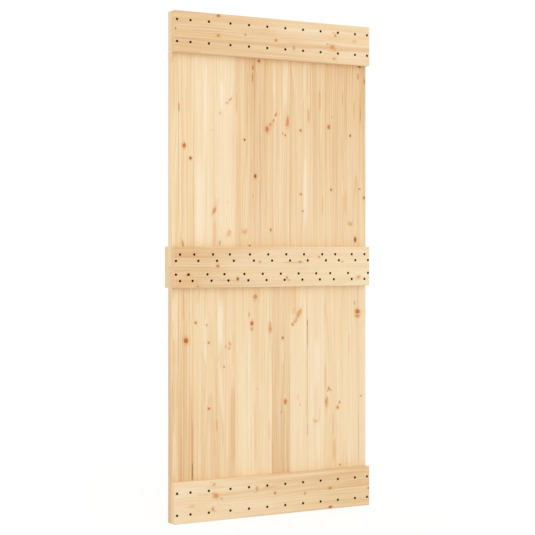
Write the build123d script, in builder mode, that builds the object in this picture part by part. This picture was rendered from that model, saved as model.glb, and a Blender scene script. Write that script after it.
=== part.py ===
from build123d import *
import os

# A barn door leaf: upright tongue and groove pine boards in an upper and a lower field, screwed to
# three rails on the front, with a fourth rail behind the line where the two fields meet.
#
# Millimetres. The origin is the middle of the bottom edge, at mid-thickness of the boards. +X runs
# across the door from left to right, the front faces -Y and +Z is up.

# The leaf
WIDTH = 950.0
HEIGHT = 2100.0
BOARD_THICKNESS = 30.0
RAIL_THICKNESS = 30.0
RAIL_HEIGHT = 170.0

# The boards, across the door. The first three are ripped to their own widths, full ones follow, and
# the last takes what is left, but never less than the narrowest strip that can be held.
FIRST_BOARD = 34.0
SECOND_BOARD = 71.0
THIRD_BOARD = 106.0
FULL_BOARD = 88.0
NARROWEST_BOARD = 20.0

# The two fields end a saw cut apart, half-way up, behind the middle rails.
BUTT_GAP = 0.8

# The tongue and groove joint
TONGUE_THICKNESS = 8.0
TONGUE_LENGTH = 8.0
TONGUE_TIP_CHAMFER = 1.2
GROOVE_SIDE_GAP = 0.2
GROOVE_END_GAP = 0.5
JOINT_BEVEL = 0.6

# The bevel that takes the sharpness off the sides of the leaf, and off every edge of a rail
LEAF_SIDE_BEVEL = 1.2
RAIL_BEVEL = 1.2

# The screws. There are many, so each keeps only a few flat sides in place of its round.
SCREW_SIDES = 6
HEAD_RADIUS = 5.0
SHANK_RADIUS = 2.5
HEAD_SINK = 0.3
POINT_LENGTH = 20.0
SCREW_HOLE_GAP = 0.1

# Rows of screws in the top and the bottom rail, from the leaf's top or bottom edge
OUTER_ROW = 36.0
INNER_ROW = 126.0
# Most screws of a row sit this far right of their board's middle, those of the wide third board at its
# middle, and those of the two edge boards this far in from the leaf's sides.
ROW_SHIFT = 3.9
EDGE_INSET = 12.2

# Rows of screws in the middle rails, above and below mid-height. A board end has one screw in each
# row of its field, and the two make a slanting pair. All four rows sit a little low.
NEAR_ROW = 27.9
FAR_ROW = 54.2
ROWS_DROP = 1.8
PAIR_SPREAD = 18.7

# The pairs in the two edge boards sit this far in from the leaf's sides.
EDGE_PAIR_INSET = 16.5
# How far right of its board's middle each other pair sits. Those near the leaf's sides were set by
# hand, and the ones between share one shift.
UPPER_LEFT_SHIFTS = (30.5, 28.5, 10.5)
UPPER_SHIFT = 18.0
UPPER_RIGHT_SHIFTS = (21.5, -0.5, -3.5)
LOWER_LEFT_SHIFTS = (4.0, 3.0, -15.0)
LOWER_SHIFT = -8.7
LOWER_RIGHT_SHIFTS = (-9.0, -26.0, -22.5)

# Planes that the pieces share
FRONT_OF_BOARDS = -BOARD_THICKNESS / 2
BACK_OF_BOARDS = BOARD_THICKNESS / 2
FRONT_OF_RAILS = FRONT_OF_BOARDS - RAIL_THICKNESS
LEFT_SIDE = -WIDTH / 2
RIGHT_SIDE = WIDTH / 2
MID_HEIGHT = HEIGHT / 2
ROWS_MIDDLE = MID_HEIGHT - ROWS_DROP
DRIVING_PLANE = Plane(origin=(0, FRONT_OF_RAILS, 0), x_dir=(1, 0, 0), z_dir=(0, 1, 0))

os.makedirs("parts", exist_ok=True)


def board_spans():
    """Left and right side of every board across the leaf, from left to right."""
    widths = [FIRST_BOARD, SECOND_BOARD, THIRD_BOARD]
    while WIDTH - sum(widths) - FULL_BOARD >= NARROWEST_BOARD:
        widths.append(FULL_BOARD)
    widths.append(WIDTH - sum(widths))
    spans = []
    left = LEFT_SIDE
    for width in widths:
        spans.append((left, left + width))
        left += width
    return spans


def row_places(spans):
    """Where the screws of a straight row stand across the leaf, one in each board."""
    places = [(left + right) / 2 + ROW_SHIFT for left, right in spans]
    places[0] = LEFT_SIDE + EDGE_INSET
    places[2] = sum(spans[2]) / 2
    places[-1] = RIGHT_SIDE - EDGE_INSET
    return places


def pair_centres(spans, left_shifts, shift, right_shifts):
    """Where the middle of each slanting pair stands across the leaf, one pair in each board."""
    inner = spans[1:-1]
    shifts = [shift] * len(inner)
    shifts[: len(left_shifts)] = left_shifts
    shifts[-len(right_shifts) :] = right_shifts
    centres = [(left + right) / 2 + move for (left, right), move in zip(inner, shifts)]
    return [LEFT_SIDE + EDGE_PAIR_INSET] + centres + [RIGHT_SIDE - EDGE_PAIR_INSET]


def slanting_pairs(centres, upper_row, lower_row, turned):
    """Spots of the slanting pairs. One pair, at the index in turned, leans the other way."""
    spots = []
    for index, centre in enumerate(centres):
        half = PAIR_SPREAD / 2
        if index == turned:
            half = -half
        spots.append((centre - half, upper_row))
        spots.append((centre + half, lower_row))
    return spots


def corners(depth, radius):
    """Corners of a screw's section, at a depth below the front of the rails."""
    with BuildSketch(DRIVING_PLANE.offset(depth)) as section:
        RegularPolygon(radius, SCREW_SIDES)
    return [vertex.center() for vertex in section.sketch.vertices()]


def screw_body(through, gap):
    """A screw driven along +Y, from its head to its point. through is what it passes before its point
    begins, and a gap makes it the hole for such a screw, open at the face that it is driven into."""
    head_depth = 0.0 if gap else HEAD_SINK
    head = HEAD_RADIUS + HEAD_SINK - head_depth + gap
    shank = SHANK_RADIUS + gap
    neck_depth = HEAD_SINK + HEAD_RADIUS - SHANK_RADIUS
    point_depth = through + POINT_LENGTH * shank / SHANK_RADIUS
    neck = corners(neck_depth, shank)
    root = corners(through, shank)
    with BuildPart() as screw:
        ConvexPolyhedron(corners(head_depth, head) + neck)
        ConvexPolyhedron(neck + root)
        ConvexPolyhedron(root + [Vector(0, FRONT_OF_RAILS + point_depth, 0)])
    return screw.part


def places_on_front(spots):
    """Locations for screws at the given spots, each a place across the leaf and a height."""
    return Locations(*[(x, 0, z) for x, z in spots])


def near(spots, left, right):
    """The spots whose holes reach the stretch from left to right."""
    reach = SHANK_RADIUS + SCREW_HOLE_GAP
    return [(x, z) for x, z in spots if left - reach < x < right + reach]


def board(name, span, bottom, top, blind_spots, through_spots, grooved, tongued):
    """One upright board, with a groove down its left side, a tongue down its right side, and the holes
    of the screws that reach it. A side that is also the leaf's side has neither."""
    left, right = span
    with BuildPart() as piece:
        with BuildSketch(Plane.XY.offset(bottom)) as section:
            with Locations(((left + right) / 2, 0)):
                Rectangle(right - left, BOARD_THICKNESS)
            left_corners = section.vertices().group_by(Axis.X)[0]
            right_corners = section.vertices().group_by(Axis.X)[-1]
            chamfer(left_corners, JOINT_BEVEL if grooved else LEAF_SIDE_BEVEL)
            chamfer(right_corners, JOINT_BEVEL if tongued else LEAF_SIDE_BEVEL)
            if grooved:
                groove_depth = TONGUE_LENGTH + GROOVE_END_GAP
                groove_width = TONGUE_THICKNESS + 2 * GROOVE_SIDE_GAP
                with Locations((left + groove_depth / 2, 0)):
                    Rectangle(groove_depth, groove_width, mode=Mode.SUBTRACT)
            if tongued:
                with Locations((right + TONGUE_LENGTH / 2, 0)):
                    Rectangle(TONGUE_LENGTH, TONGUE_THICKNESS)
                tip_corners = section.vertices().group_by(Axis.X)[-1]
                chamfer(tip_corners, TONGUE_TIP_CHAMFER)
        extrude(amount=top - bottom)
        reach = right + TONGUE_LENGTH if tongued else right
        blind = near(blind_spots, left, reach)
        if blind:
            with places_on_front(blind):
                add(short_screw_hole, mode=Mode.SUBTRACT)
        through = near(through_spots, left, reach)
        if through:
            with places_on_front(through):
                add(long_screw_hole, mode=Mode.SUBTRACT)
    piece.part.label = name
    export_step(piece.part, f"parts/{name}.step")


def rail(name, front, bottom, spots, hole):
    """One rail across the leaf, with its edges bevelled and the holes of its screws."""
    with BuildPart() as piece:
        with BuildSketch(Plane.YZ.offset(LEFT_SIDE)):
            with Locations((front + RAIL_THICKNESS / 2, bottom + RAIL_HEIGHT / 2)):
                Rectangle(RAIL_THICKNESS, RAIL_HEIGHT)
        extrude(amount=WIDTH)
        chamfer(piece.edges(), RAIL_BEVEL)
        with places_on_front(spots):
            add(hole, mode=Mode.SUBTRACT)
    piece.part.label = name
    export_step(piece.part, f"parts/{name}.step")


def screw_set(name, spots, body):
    """All the screws of one rail, as separate solids in one piece."""
    with BuildPart() as piece:
        with places_on_front(spots):
            add(body)
    piece.part.label = name
    export_step(piece.part, f"parts/{name}.step")


# Short screws go through a front rail and point into a board. Long ones go through the front middle
# rail and a board, and point into the back middle rail.
short_screw = screw_body(RAIL_THICKNESS, 0.0)
short_screw_hole = screw_body(RAIL_THICKNESS, SCREW_HOLE_GAP)
long_screw = screw_body(RAIL_THICKNESS + BOARD_THICKNESS, 0.0)
long_screw_hole = screw_body(RAIL_THICKNESS + BOARD_THICKNESS, SCREW_HOLE_GAP)

spans = board_spans()
row = row_places(spans)
top_spots = [(x, HEIGHT - drop) for drop in (OUTER_ROW, INNER_ROW) for x in row]
bottom_spots = [(x, rise) for rise in (OUTER_ROW, INNER_ROW) for x in row]
upper_pairs = slanting_pairs(
    pair_centres(spans, UPPER_LEFT_SHIFTS, UPPER_SHIFT, UPPER_RIGHT_SHIFTS),
    ROWS_MIDDLE + FAR_ROW,
    ROWS_MIDDLE + NEAR_ROW,
    turned=0,
)
lower_pairs = slanting_pairs(
    pair_centres(spans, LOWER_LEFT_SHIFTS, LOWER_SHIFT, LOWER_RIGHT_SHIFTS),
    ROWS_MIDDLE - NEAR_ROW,
    ROWS_MIDDLE - FAR_ROW,
    turned=len(spans) - 1,
)

# The boards
for index, span in enumerate(spans):
    number = f"{index + 1:02d}"
    grooved = index > 0
    tongued = index < len(spans) - 1
    butt = MID_HEIGHT + BUTT_GAP / 2
    board(f"upper_board_{number}", span, butt, HEIGHT, top_spots, upper_pairs, grooved, tongued)
    butt = MID_HEIGHT - BUTT_GAP / 2
    board(f"lower_board_{number}", span, 0, butt, bottom_spots, lower_pairs, grooved, tongued)

# The rails
middle_bottom = MID_HEIGHT - RAIL_HEIGHT / 2
rail("top_rail", FRONT_OF_RAILS, HEIGHT - RAIL_HEIGHT, top_spots, short_screw_hole)
rail("middle_rail_front", FRONT_OF_RAILS, middle_bottom, upper_pairs + lower_pairs, long_screw_hole)
rail("middle_rail_back", BACK_OF_BOARDS, middle_bottom, upper_pairs + lower_pairs, long_screw_hole)
rail("bottom_rail", FRONT_OF_RAILS, 0, bottom_spots, short_screw_hole)

# The screws
screw_set("top_rail_screws", top_spots, short_screw)
screw_set("middle_rail_screws", upper_pairs + lower_pairs, long_screw)
screw_set("bottom_rail_screws", bottom_spots, short_screw)
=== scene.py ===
import logging
import math
from dataclasses import dataclass, field, replace
from enum import Enum

import bpy
import numpy as np
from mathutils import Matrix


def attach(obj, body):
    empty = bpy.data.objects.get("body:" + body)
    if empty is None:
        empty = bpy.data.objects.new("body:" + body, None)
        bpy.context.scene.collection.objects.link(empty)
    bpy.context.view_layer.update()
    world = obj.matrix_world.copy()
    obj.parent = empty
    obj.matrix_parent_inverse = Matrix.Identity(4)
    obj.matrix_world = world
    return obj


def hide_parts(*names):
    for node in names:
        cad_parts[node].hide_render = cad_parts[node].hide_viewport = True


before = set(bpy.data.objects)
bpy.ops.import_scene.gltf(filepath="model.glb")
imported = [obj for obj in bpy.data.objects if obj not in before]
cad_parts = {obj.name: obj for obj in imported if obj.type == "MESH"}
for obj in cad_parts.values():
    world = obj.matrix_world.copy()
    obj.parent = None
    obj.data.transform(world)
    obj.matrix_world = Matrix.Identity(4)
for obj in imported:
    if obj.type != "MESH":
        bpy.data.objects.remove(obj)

# A barn door leaf of solid pine: upright boards in two fields, three rails across the front, one
# across the back, and black countersunk screws. Metres, as in the frame: +X to the right, the front
# faces -Y, +Z is up, and the floor is z = 0.

MM = 0.001
LEAF_WIDTH = 950 * MM
LEAF_HEIGHT = 2100 * MM
LEFT_SIDE = -LEAF_WIDTH / 2
FRONT_OF_RAILS = -45 * MM
RAIL_THICKNESS = 30 * MM
RAIL_HEIGHT = 170 * MM
MID_HEIGHT = LEAF_HEIGHT / 2

Colour = tuple[float, float, float]
Triple = tuple[float, float, float]
Spot = tuple[float, float]
Array = np.ndarray
Node = bpy.types.Node
Socket = bpy.types.NodeSocket
Sockets = bpy.types.bpy_prop_collection


def linear(red: int, green: int, blue: int) -> Colour:
    """Turns a colour as a screen shows it, 0 to 255, into the linear numbers that a shader takes.

    A part below the knee is divided by 12.92. Above it, 0.055 is added, the sum is divided by 1.055
    and raised to the power 2.4.

    Args:
        red: The red part.
        green: The green part.
        blue: The blue part.

    Returns:
        The three linear parts, 0 to 1.
    """
    parts = np.array([red, green, blue]) / 255.0
    value = np.where(parts <= 0.04045, parts / 12.92, ((parts + 0.055) / 1.055) ** 2.4)
    return tuple(float(v) for v in value)


class Tone(Enum):
    """Ground colours of the pine, each with its early wood and its late wood."""

    CREAM = (linear(247, 226, 189), linear(238, 207, 165))
    STRAW = (linear(246, 224, 185), linear(234, 199, 152))
    HONEY = (linear(245, 220, 177), linear(230, 192, 142))
    BLUSH = (linear(243, 215, 172), linear(225, 183, 137))
    TAN = (linear(239, 210, 164), linear(219, 174, 124))
    AMBER = (linear(236, 202, 153), linear(212, 158, 106))
    SMOKED = (linear(234, 199, 151), linear(209, 162, 114))


class KnotKind(Enum):
    """What a knot looks like: the colours of its heart, its rim and its halo, and its strength."""

    RED = (linear(198, 112, 52), linear(168, 88, 36), linear(230, 160, 102), 0.9)
    ORANGE = (linear(212, 146, 86), linear(194, 120, 62), linear(233, 174, 116), 0.78)
    BROWN = (linear(184, 120, 60), linear(150, 92, 42), linear(230, 170, 110), 0.84)
    DARK = (linear(146, 94, 42), linear(116, 68, 28), linear(224, 162, 102), 0.92)
    FAINT = (linear(216, 168, 118), linear(200, 148, 98), linear(234, 190, 142), 0.55)
    GREY = (linear(186, 150, 102), linear(162, 126, 80), linear(226, 190, 146), 0.62)
    GREEN = (linear(196, 180, 124), linear(180, 160, 104), linear(226, 204, 152), 0.5)


class Shade(Enum):
    """Colours of the soft stains and stripes that lie over the grain."""

    WHITE = linear(251, 234, 208)
    CREAM = linear(248, 227, 188)
    YELLOW = linear(240, 210, 158)
    SAND = linear(232, 195, 148)
    ORANGE = linear(228, 172, 116)
    RED = linear(212, 148, 108)
    ROSE = linear(238, 203, 170)
    GREY = linear(204, 176, 144)
    DARK = linear(142, 98, 68)


class Grain(Enum):
    """Which way the grain of a piece runs in the leaf."""

    UP = "up"
    ACROSS = "across"


@dataclass(frozen=True)
class Knot:
    """A knot on the face of a piece, in millimetres.

    Its middle lies across from the leaf's left side and down from its top edge. It is wide across
    the leaf and tall up it, and leans by an angle in degrees. A fade below 1 makes it weaker.
    """

    across: float
    down: float
    wide: float
    tall: float
    kind: KnotKind
    lean: float = 0.0
    fade: float = 1.0


@dataclass(frozen=True)
class Stain:
    """A soft stripe or stain on the face of a piece, placed as a knot is, in millimetres."""

    across: float
    down: float
    wide: float
    tall: float
    shade: Shade
    strength: float
    lean: float = 0.0


Mark = Knot | Stain


class NodeSheet:
    """A node tree with short ways to add the nodes that the finishes are made of."""

    def __init__(self, tree: bpy.types.NodeTree) -> None:
        """Takes the tree that the nodes go into."""
        self.tree = tree

    def put(self, socket: Socket, value: object) -> None:
        """Links an output to a socket, or writes a plain value into it.

        Args:
            socket: The input to feed.
            value: An output socket, a number or a tuple of numbers.
        """
        if isinstance(value, Socket):
            self.tree.links.new(value, socket)
            return
        if hasattr(value, "__len__") and len(value) == 3 and socket.type == "RGBA":
            value = (*value, 1.0)
        socket.default_value = value

    def node(self, kind: str, **settings: object) -> Node:
        """Adds a node of a kind and sets its properties.

        Args:
            kind: The node's type name.
            settings: Properties of the node, by name.

        Returns:
            The new node.
        """
        added = self.tree.nodes.new(kind)
        for name, value in settings.items():
            setattr(added, name, value)
        return added

    def fed(self, node: Node, values: dict[str | int, object]) -> Node:
        """Feeds the inputs of a node.

        Args:
            node: The node.
            values: What goes into each input, by its name or its number.

        Returns:
            The same node.
        """
        for name, value in values.items():
            self.put(node.inputs[name], value)
        return node

    def group(self, tree: bpy.types.NodeTree, **values: object) -> Node:
        """Adds a node group and feeds its inputs by name."""
        return self.fed(self.node("ShaderNodeGroup", node_tree=tree), values)

    def math(self, operation: str, *values: object) -> Socket:
        """Adds one step of arithmetic on the values, in order, and returns its result."""
        added = self.node("ShaderNodeMath", operation=operation)
        return self.fed(added, dict(enumerate(values))).outputs[0]

    def times(self, first: object, *others: object) -> Socket:
        """Multiplies numbers one after the other.

        Args:
            first: The first number.
            others: The numbers that it is multiplied by.

        Returns:
            The product's socket.
        """
        for other in others:
            first = self.math("MULTIPLY", first, other)
        return first

    def plus(self, first: object, second: object) -> Socket:
        """Adds two numbers."""
        return self.math("ADD", first, second)

    def less(self, first: object, second: object) -> Socket:
        """Takes the second number from the first."""
        return self.math("SUBTRACT", first, second)

    def rest(self, share: object) -> Socket:
        """What a share leaves of 1."""
        return self.math("SUBTRACT", 1.0, share)

    def scaled(self, value: object, factor: object, base: object) -> Socket:
        """The base plus the factor times the value."""
        return self.math("MULTIPLY_ADD", value, factor, base)

    def root_of_squares(self, first: object, second: object) -> Socket:
        """The root of the sum of two numbers' squares."""
        return self.math("SQRT", self.plus(self.times(first, first), self.times(second, second)))

    def step(self, value: object, low: object, high: object) -> Socket:
        """A smooth rise from 0 to 1 as the value goes from low to high."""
        return self.fed(self.node("ShaderNodeMapRange", interpolation_type="SMOOTHSTEP"), {
            "Value": value, "From Min": low, "From Max": high}).outputs["Result"]

    def vector(self, operation: str, *values: object) -> Socket:
        """Adds one step of vector arithmetic on the values, in order, and returns its vector."""
        added = self.node("ShaderNodeVectorMath", operation=operation)
        return self.fed(added, dict(enumerate(values))).outputs[0]

    def split(self, value: Socket) -> tuple[Socket, ...]:
        """Splits a vector into its three parts."""
        return tuple(self.fed(self.node("ShaderNodeSeparateXYZ"), {0: value}).outputs)

    def join(self, x: object, y: object, z: object) -> Socket:
        """Joins three numbers into a vector."""
        return self.fed(self.node("ShaderNodeCombineXYZ"), {0: x, 1: y, 2: z}).outputs[0]

    def mix(self, share: object, first: object, second: object) -> Socket:
        """Lays a share of the second colour, 0 to 1, over the first."""
        # The node has sockets for every kind of value. These numbers are the colour's.
        return self.fed(self.node("ShaderNodeMix", data_type="RGBA"), {
            0: share, 6: first, 7: second}).outputs[2]

    def noise(self, place: object, scale: Triple, detail: float = 2.0,
              roughness: float = 0.5) -> Node:
        """Adds soft noise whose grain is set for each axis.

        Args:
            place: The point that it is read at.
            scale: Grains per metre along each axis.
            detail: How many finer layers it has.
            roughness: How strong the finer layers are.

        Returns:
            The noise node. Its first output is a number and its second a colour.
        """
        scaled = self.vector("MULTIPLY", place, scale)
        added = self.node("ShaderNodeTexNoise", noise_dimensions="3D")
        return self.fed(added, {"Vector": scaled, "Scale": 1.0, "Detail": detail,
                                "Roughness": roughness})

    def bump(self, height: Socket, strength: float, distance: float) -> Socket:
        """Turns a height into relief. Its distance is what a height of 1 measures, in metres."""
        return self.fed(self.node("ShaderNodeBump"), {
            "Strength": strength, "Distance": distance, "Height": height}).outputs[0]

    def seen(self) -> Socket:
        """Tells the rays that show a thing from the rays that light the scene.

        Returns:
            1 for rays from the camera, in gloss and through glass, and 0 for the others.
        """
        path = self.node("ShaderNodeLightPath").outputs
        seen = self.math("MAXIMUM", path["Is Camera Ray"], path["Is Glossy Ray"])
        return self.math("MAXIMUM", seen, path["Is Transmission Ray"])

    def show(self, shader: Node, output: str = "ShaderNodeOutputMaterial") -> None:
        """Leads a shader to the output of a material or, by its type name, of a world."""
        self.fed(self.node(output), {"Surface": shader.outputs[0]})


def sheet_of(owner: bpy.types.Material | bpy.types.World) -> NodeSheet:
    """Clears a material or a world.

    Args:
        owner: The material or world.

    Returns:
        The empty sheet to draw its nodes on.
    """
    owner.use_nodes = True
    owner.node_tree.nodes.clear()
    return NodeSheet(owner.node_tree)


def sheet_of_group(name: str, inputs: dict[str, str],
                   outputs: dict[str, str]) -> tuple[NodeSheet, Sockets, Sockets]:
    """Starts a node group with named sockets.

    Args:
        name: The group's name.
        inputs: Input names with their socket types.
        outputs: Output names with their socket types.

    Returns:
        The sheet to draw on, the sockets that bring the inputs, and those that take the outputs.
    """
    tree = bpy.data.node_groups.new(name, "ShaderNodeTree")
    for side, sockets in (("INPUT", inputs), ("OUTPUT", outputs)):
        for label, kind in sockets.items():
            tree.interface.new_socket(label, in_out=side, socket_type=kind)
    sheet = NodeSheet(tree)
    return sheet, sheet.node("NodeGroupInput").outputs, sheet.node("NodeGroupOutput").inputs


def paint(body: bpy.types.Object, material: bpy.types.Material) -> None:
    """Gives a piece one material in place of what it had."""
    body.data.materials.clear()
    body.data.materials.append(material)


FLOAT = "NodeSocketFloat"
VECTOR = "NodeSocketVector"
COLOUR = "NodeSocketColor"
# What every group that works round a mark takes: the place in the wood, and the mark's own.
PLACED = {"Place": VECTOR, "Middle": VECTOR, "Half": VECTOR, "Lean": FLOAT}


class PineGroups:
    """The node groups that every piece of pine shares: growth rings, and what a knot does to them.

    A place in the wood is a vector whose x runs across the face, y through the thickness and z
    along the grain. Noise is given in grains per metre along these three. Distances from a mark are
    counted in its own half sizes.
    """

    # The grain bends over so many half sizes, across and along, by this share of its offset.
    BEND_REACH = (2.1, 2.9)
    BEND = -1.7
    # A mark's outline is stirred by this noise, by this many half sizes from end to end.
    KNOT_RAGGED = (190.0, 60.0, 110.0)
    STAIN_RAGGED = (60.0, 40.0, 7.0)
    RAGGED = 0.9
    # Over which distances a knot's heart fades, its rim rises and fades, and its halo fades.
    HEART_ENDS = (0.4, 1.2)
    RIM_BEGINS = (0.25, 0.6)
    RIM_ENDS = (0.6, 1.1)
    HALO_ENDS = (0.6, 3.0)
    HALO_STRENGTH = 0.74
    RIM_STRENGTH = 0.55
    # The heart's rings: turns for each half size, how far they swing, and what they swing about.
    HEART_RINGS = (17.0, 0.16, 0.2)
    HEART_GLOSS = 0.12
    # Over which distances a stain's sides and its ends fade.
    STAIN_SIDES = (0.55, 1.15)
    STAIN_ENDS = (0.45, 1.15)
    # Slow and quick wandering of the rings, and how far the quick one moves them, in metres.
    SLOW = (5.0, 5.0, 1.15)
    QUICK = (26.0, 26.0, 6.0)
    QUICK_ACROSS = 0.0032
    QUICK_THROUGH = 0.0026
    # Late wood rises and stops within these parts of a ring, and the weakest ring's strength.
    LATE_BEGINS = (0.42, 0.93)
    LATE_ENDS = (0.93, 1.0)
    WEAKEST_RING = 0.15
    # Broad bands, fine streaks and how far these wander, fibres, and short flecks.
    BANDS = (34.0, 20.0, 0.9)
    STREAKS = (230.0, 160.0, 1.6)
    STREAK_WANDER = 0.005
    FIBRES = (820.0, 820.0, 16.0)
    FLECKS = (520.0, 520.0, 42.0)
    FLECK_BEGINS = (0.68, 0.78)

    def __init__(self) -> None:
        """Draws the groups once."""
        self.bend = self.draw_bend()
        self.knot = self.draw_knot()
        self.stain = self.draw_stain()
        self.rings = self.draw_rings()

    @staticmethod
    def offsets(sheet: NodeSheet, given: Sockets, spread: float = 1.0,
                stretch: float = 1.0) -> tuple[Socket, Socket]:
        """How far a place is from a mark's middle, counted in the mark's own half sizes.

        The place is taken relative to the mark's middle and turned by its lean. Each part is
        divided by the half size in that direction.

        Args:
            sheet: The sheet to draw on.
            given: The group's inputs.
            spread: How many half widths count as one across.
            stretch: How many half heights count as one along.

        Returns:
            The offset across and the offset along.
        """
        turned = sheet.fed(sheet.node("ShaderNodeVectorRotate", rotation_type="Y_AXIS"), {
            "Vector": sheet.vector("SUBTRACT", given["Place"], given["Middle"]),
            "Angle": given["Lean"]})
        across, _, along = sheet.split(turned.outputs[0])
        half_across, _, half_along = sheet.split(given["Half"])
        return (sheet.math("DIVIDE", across, sheet.times(half_across, spread)),
                sheet.math("DIVIDE", along, sheet.times(half_along, stretch)))

    def ragged(self, sheet: NodeSheet, place: Socket, scale: Triple,
               detail: float, roughness: float) -> Socket:
        """How far a mark's outline is out or in at a place, in half sizes."""
        stirred = sheet.noise(place, scale, detail, roughness).outputs[0]
        return sheet.times(sheet.less(stirred, 0.5), self.RAGGED)

    def draw_bend(self) -> bpy.types.NodeTree:
        """The group that leads the grain round a knot.

        The shift across the face is minus the offset from the knot's middle, times a bell curve of
        the distance, so lines open before the knot and close after it.

        Returns:
            The group's tree.
        """
        sheet, given, taken = sheet_of_group("grain_round_a_knot", {**PLACED, "Shift": FLOAT},
                                             {"Shift": FLOAT})
        across, along = self.offsets(sheet, given, *self.BEND_REACH)
        distance = sheet.root_of_squares(across, along)
        bell = sheet.math("EXPONENT", sheet.times(distance, distance, -1.0))
        half_across, _, _ = sheet.split(given["Half"])
        shift = sheet.times(across, sheet.times(half_across, self.BEND), bell)
        sheet.put(taken["Shift"], sheet.plus(given["Shift"], shift))
        return sheet.tree

    def draw_knot(self) -> bpy.types.NodeTree:
        """The group that paints a knot on the wood's colour.

        Inside the knot its heart colour carries fine rings that follow the distance, a darker rim
        closes it, and a warm halo fades out into the wood round it.

        Returns:
            The group's tree.
        """
        sheet, given, taken = sheet_of_group(
            "knot_in_the_wood",
            {**PLACED, "Strength": FLOAT, "Heart": COLOUR, "Rim": COLOUR, "Halo": COLOUR,
             "Wood": COLOUR, "Gloss": FLOAT},
            {"Wood": COLOUR, "Gloss": FLOAT})
        plain = sheet.root_of_squares(*self.offsets(sheet, given))
        wobble = self.ragged(sheet, given["Place"], self.KNOT_RAGGED, 2.0, 0.5)
        distance = sheet.plus(plain, wobble)
        core = sheet.rest(sheet.step(distance, *self.HEART_ENDS))
        rim = sheet.times(sheet.step(distance, *self.RIM_BEGINS),
                          sheet.rest(sheet.step(distance, *self.RIM_ENDS)))
        halo = sheet.rest(sheet.step(distance, *self.HALO_ENDS))
        turns, swing, about = self.HEART_RINGS
        ring = sheet.scaled(sheet.math("SINE", sheet.times(distance, turns)), swing, about)
        heart = sheet.mix(ring, given["Heart"], given["Rim"])
        strength = given["Strength"]
        glow = sheet.mix(sheet.times(halo, halo, strength, self.HALO_STRENGTH),
                         given["Wood"], given["Halo"])
        filled = sheet.mix(sheet.times(core, strength), glow, heart)
        closed = sheet.mix(sheet.times(rim, strength, self.RIM_STRENGTH), filled, given["Rim"])
        sheet.put(taken["Wood"], closed)
        gloss = sheet.less(given["Gloss"], sheet.times(core, strength, self.HEART_GLOSS))
        sheet.put(taken["Gloss"], gloss)
        return sheet.tree

    def draw_stain(self) -> bpy.types.NodeTree:
        """The group that lays a soft stripe or stain over the wood's colour.

        Its strength falls off on its own across the stain and along it, and noise drawn out along
        the grain makes its sides ragged.

        Returns:
            The group's tree.
        """
        sheet, given, taken = sheet_of_group(
            "stain_on_the_wood",
            {**PLACED, "Strength": FLOAT, "Shade": COLOUR, "Wood": COLOUR}, {"Wood": COLOUR})
        across, along = self.offsets(sheet, given)
        wobble = self.ragged(sheet, given["Place"], self.STAIN_RAGGED, 3.0, 0.6)
        across = sheet.plus(sheet.math("ABSOLUTE", across), wobble)
        along = sheet.plus(sheet.math("ABSOLUTE", along), wobble)
        share = sheet.times(sheet.rest(sheet.step(across, *self.STAIN_SIDES)),
                            sheet.rest(sheet.step(along, *self.STAIN_ENDS)), given["Strength"])
        sheet.put(taken["Wood"], sheet.mix(share, given["Wood"], given["Shade"]))
        return sheet.tree

    def draw_rings(self) -> bpy.types.NodeTree:
        """The group that works out growth rings in the solid wood.

        The tree's middle is a line behind the face, which drifts away from it along the grain. The
        distance from that line, stirred by soft noise, is counted in rings, and each ring grows
        darker towards its end and stops short. Each ring has its own strength.

        Returns:
            The group's tree.
        """
        sheet, given, taken = sheet_of_group(
            "growth_rings",
            {"Place": VECTOR, "Shift": FLOAT, "Seed": VECTOR, "Pith": VECTOR, "Drift": FLOAT,
             "Spacing": FLOAT, "Wander": FLOAT},
            {"Line": FLOAT, "Band": FLOAT, "Streak": FLOAT, "Fibre": FLOAT, "Fleck": FLOAT})
        place, wander = given["Place"], given["Wander"]
        seeded = sheet.vector("ADD", place, given["Seed"])
        middle = (0.5, 0.5, 0.5)
        slow = sheet.vector("SUBTRACT", sheet.noise(seeded, self.SLOW, 1.5).outputs[1], middle)
        quick = sheet.vector("SUBTRACT", sheet.noise(seeded, self.QUICK, 2.0).outputs[1], middle)
        slow_x, slow_y, _ = sheet.split(slow)
        quick_x, quick_y, _ = sheet.split(quick)
        across, through, along = sheet.split(place)
        pith_x, pith_y, _ = sheet.split(given["Pith"])
        x = sheet.less(sheet.plus(across, given["Shift"]), pith_x)
        x = sheet.scaled(quick_x, self.QUICK_ACROSS, sheet.scaled(slow_x, wander, x))
        y = sheet.less(through, sheet.scaled(along, given["Drift"], pith_y))
        y = sheet.scaled(quick_y, self.QUICK_THROUGH, sheet.scaled(slow_y, wander, y))
        count = sheet.math("DIVIDE", sheet.root_of_squares(x, y), given["Spacing"])
        part = sheet.math("FRACT", count)
        own = sheet.fed(sheet.node("ShaderNodeTexWhiteNoise", noise_dimensions="1D"),
                        {"W": sheet.plus(sheet.math("FLOOR", count), pith_x)}).outputs[0]
        line = sheet.times(sheet.step(part, *self.LATE_BEGINS),
                           sheet.rest(sheet.step(part, *self.LATE_ENDS)),
                           sheet.scaled(own, 1.0 - self.WEAKEST_RING, self.WEAKEST_RING))
        wavy = sheet.join(sheet.scaled(quick_x, self.STREAK_WANDER, x), through, along)
        wavy = sheet.vector("ADD", wavy, given["Seed"])
        fleck = sheet.noise(seeded, self.FLECKS, 1.0).outputs[0]
        sheet.put(taken["Line"], line)
        sheet.put(taken["Band"], sheet.noise(seeded, self.BANDS, 2.0, 0.55).outputs[0])
        sheet.put(taken["Streak"], sheet.noise(wavy, self.STREAKS, 2.0, 0.6).outputs[0])
        sheet.put(taken["Fibre"], sheet.noise(seeded, self.FIBRES, 3.0, 0.65).outputs[0])
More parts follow.
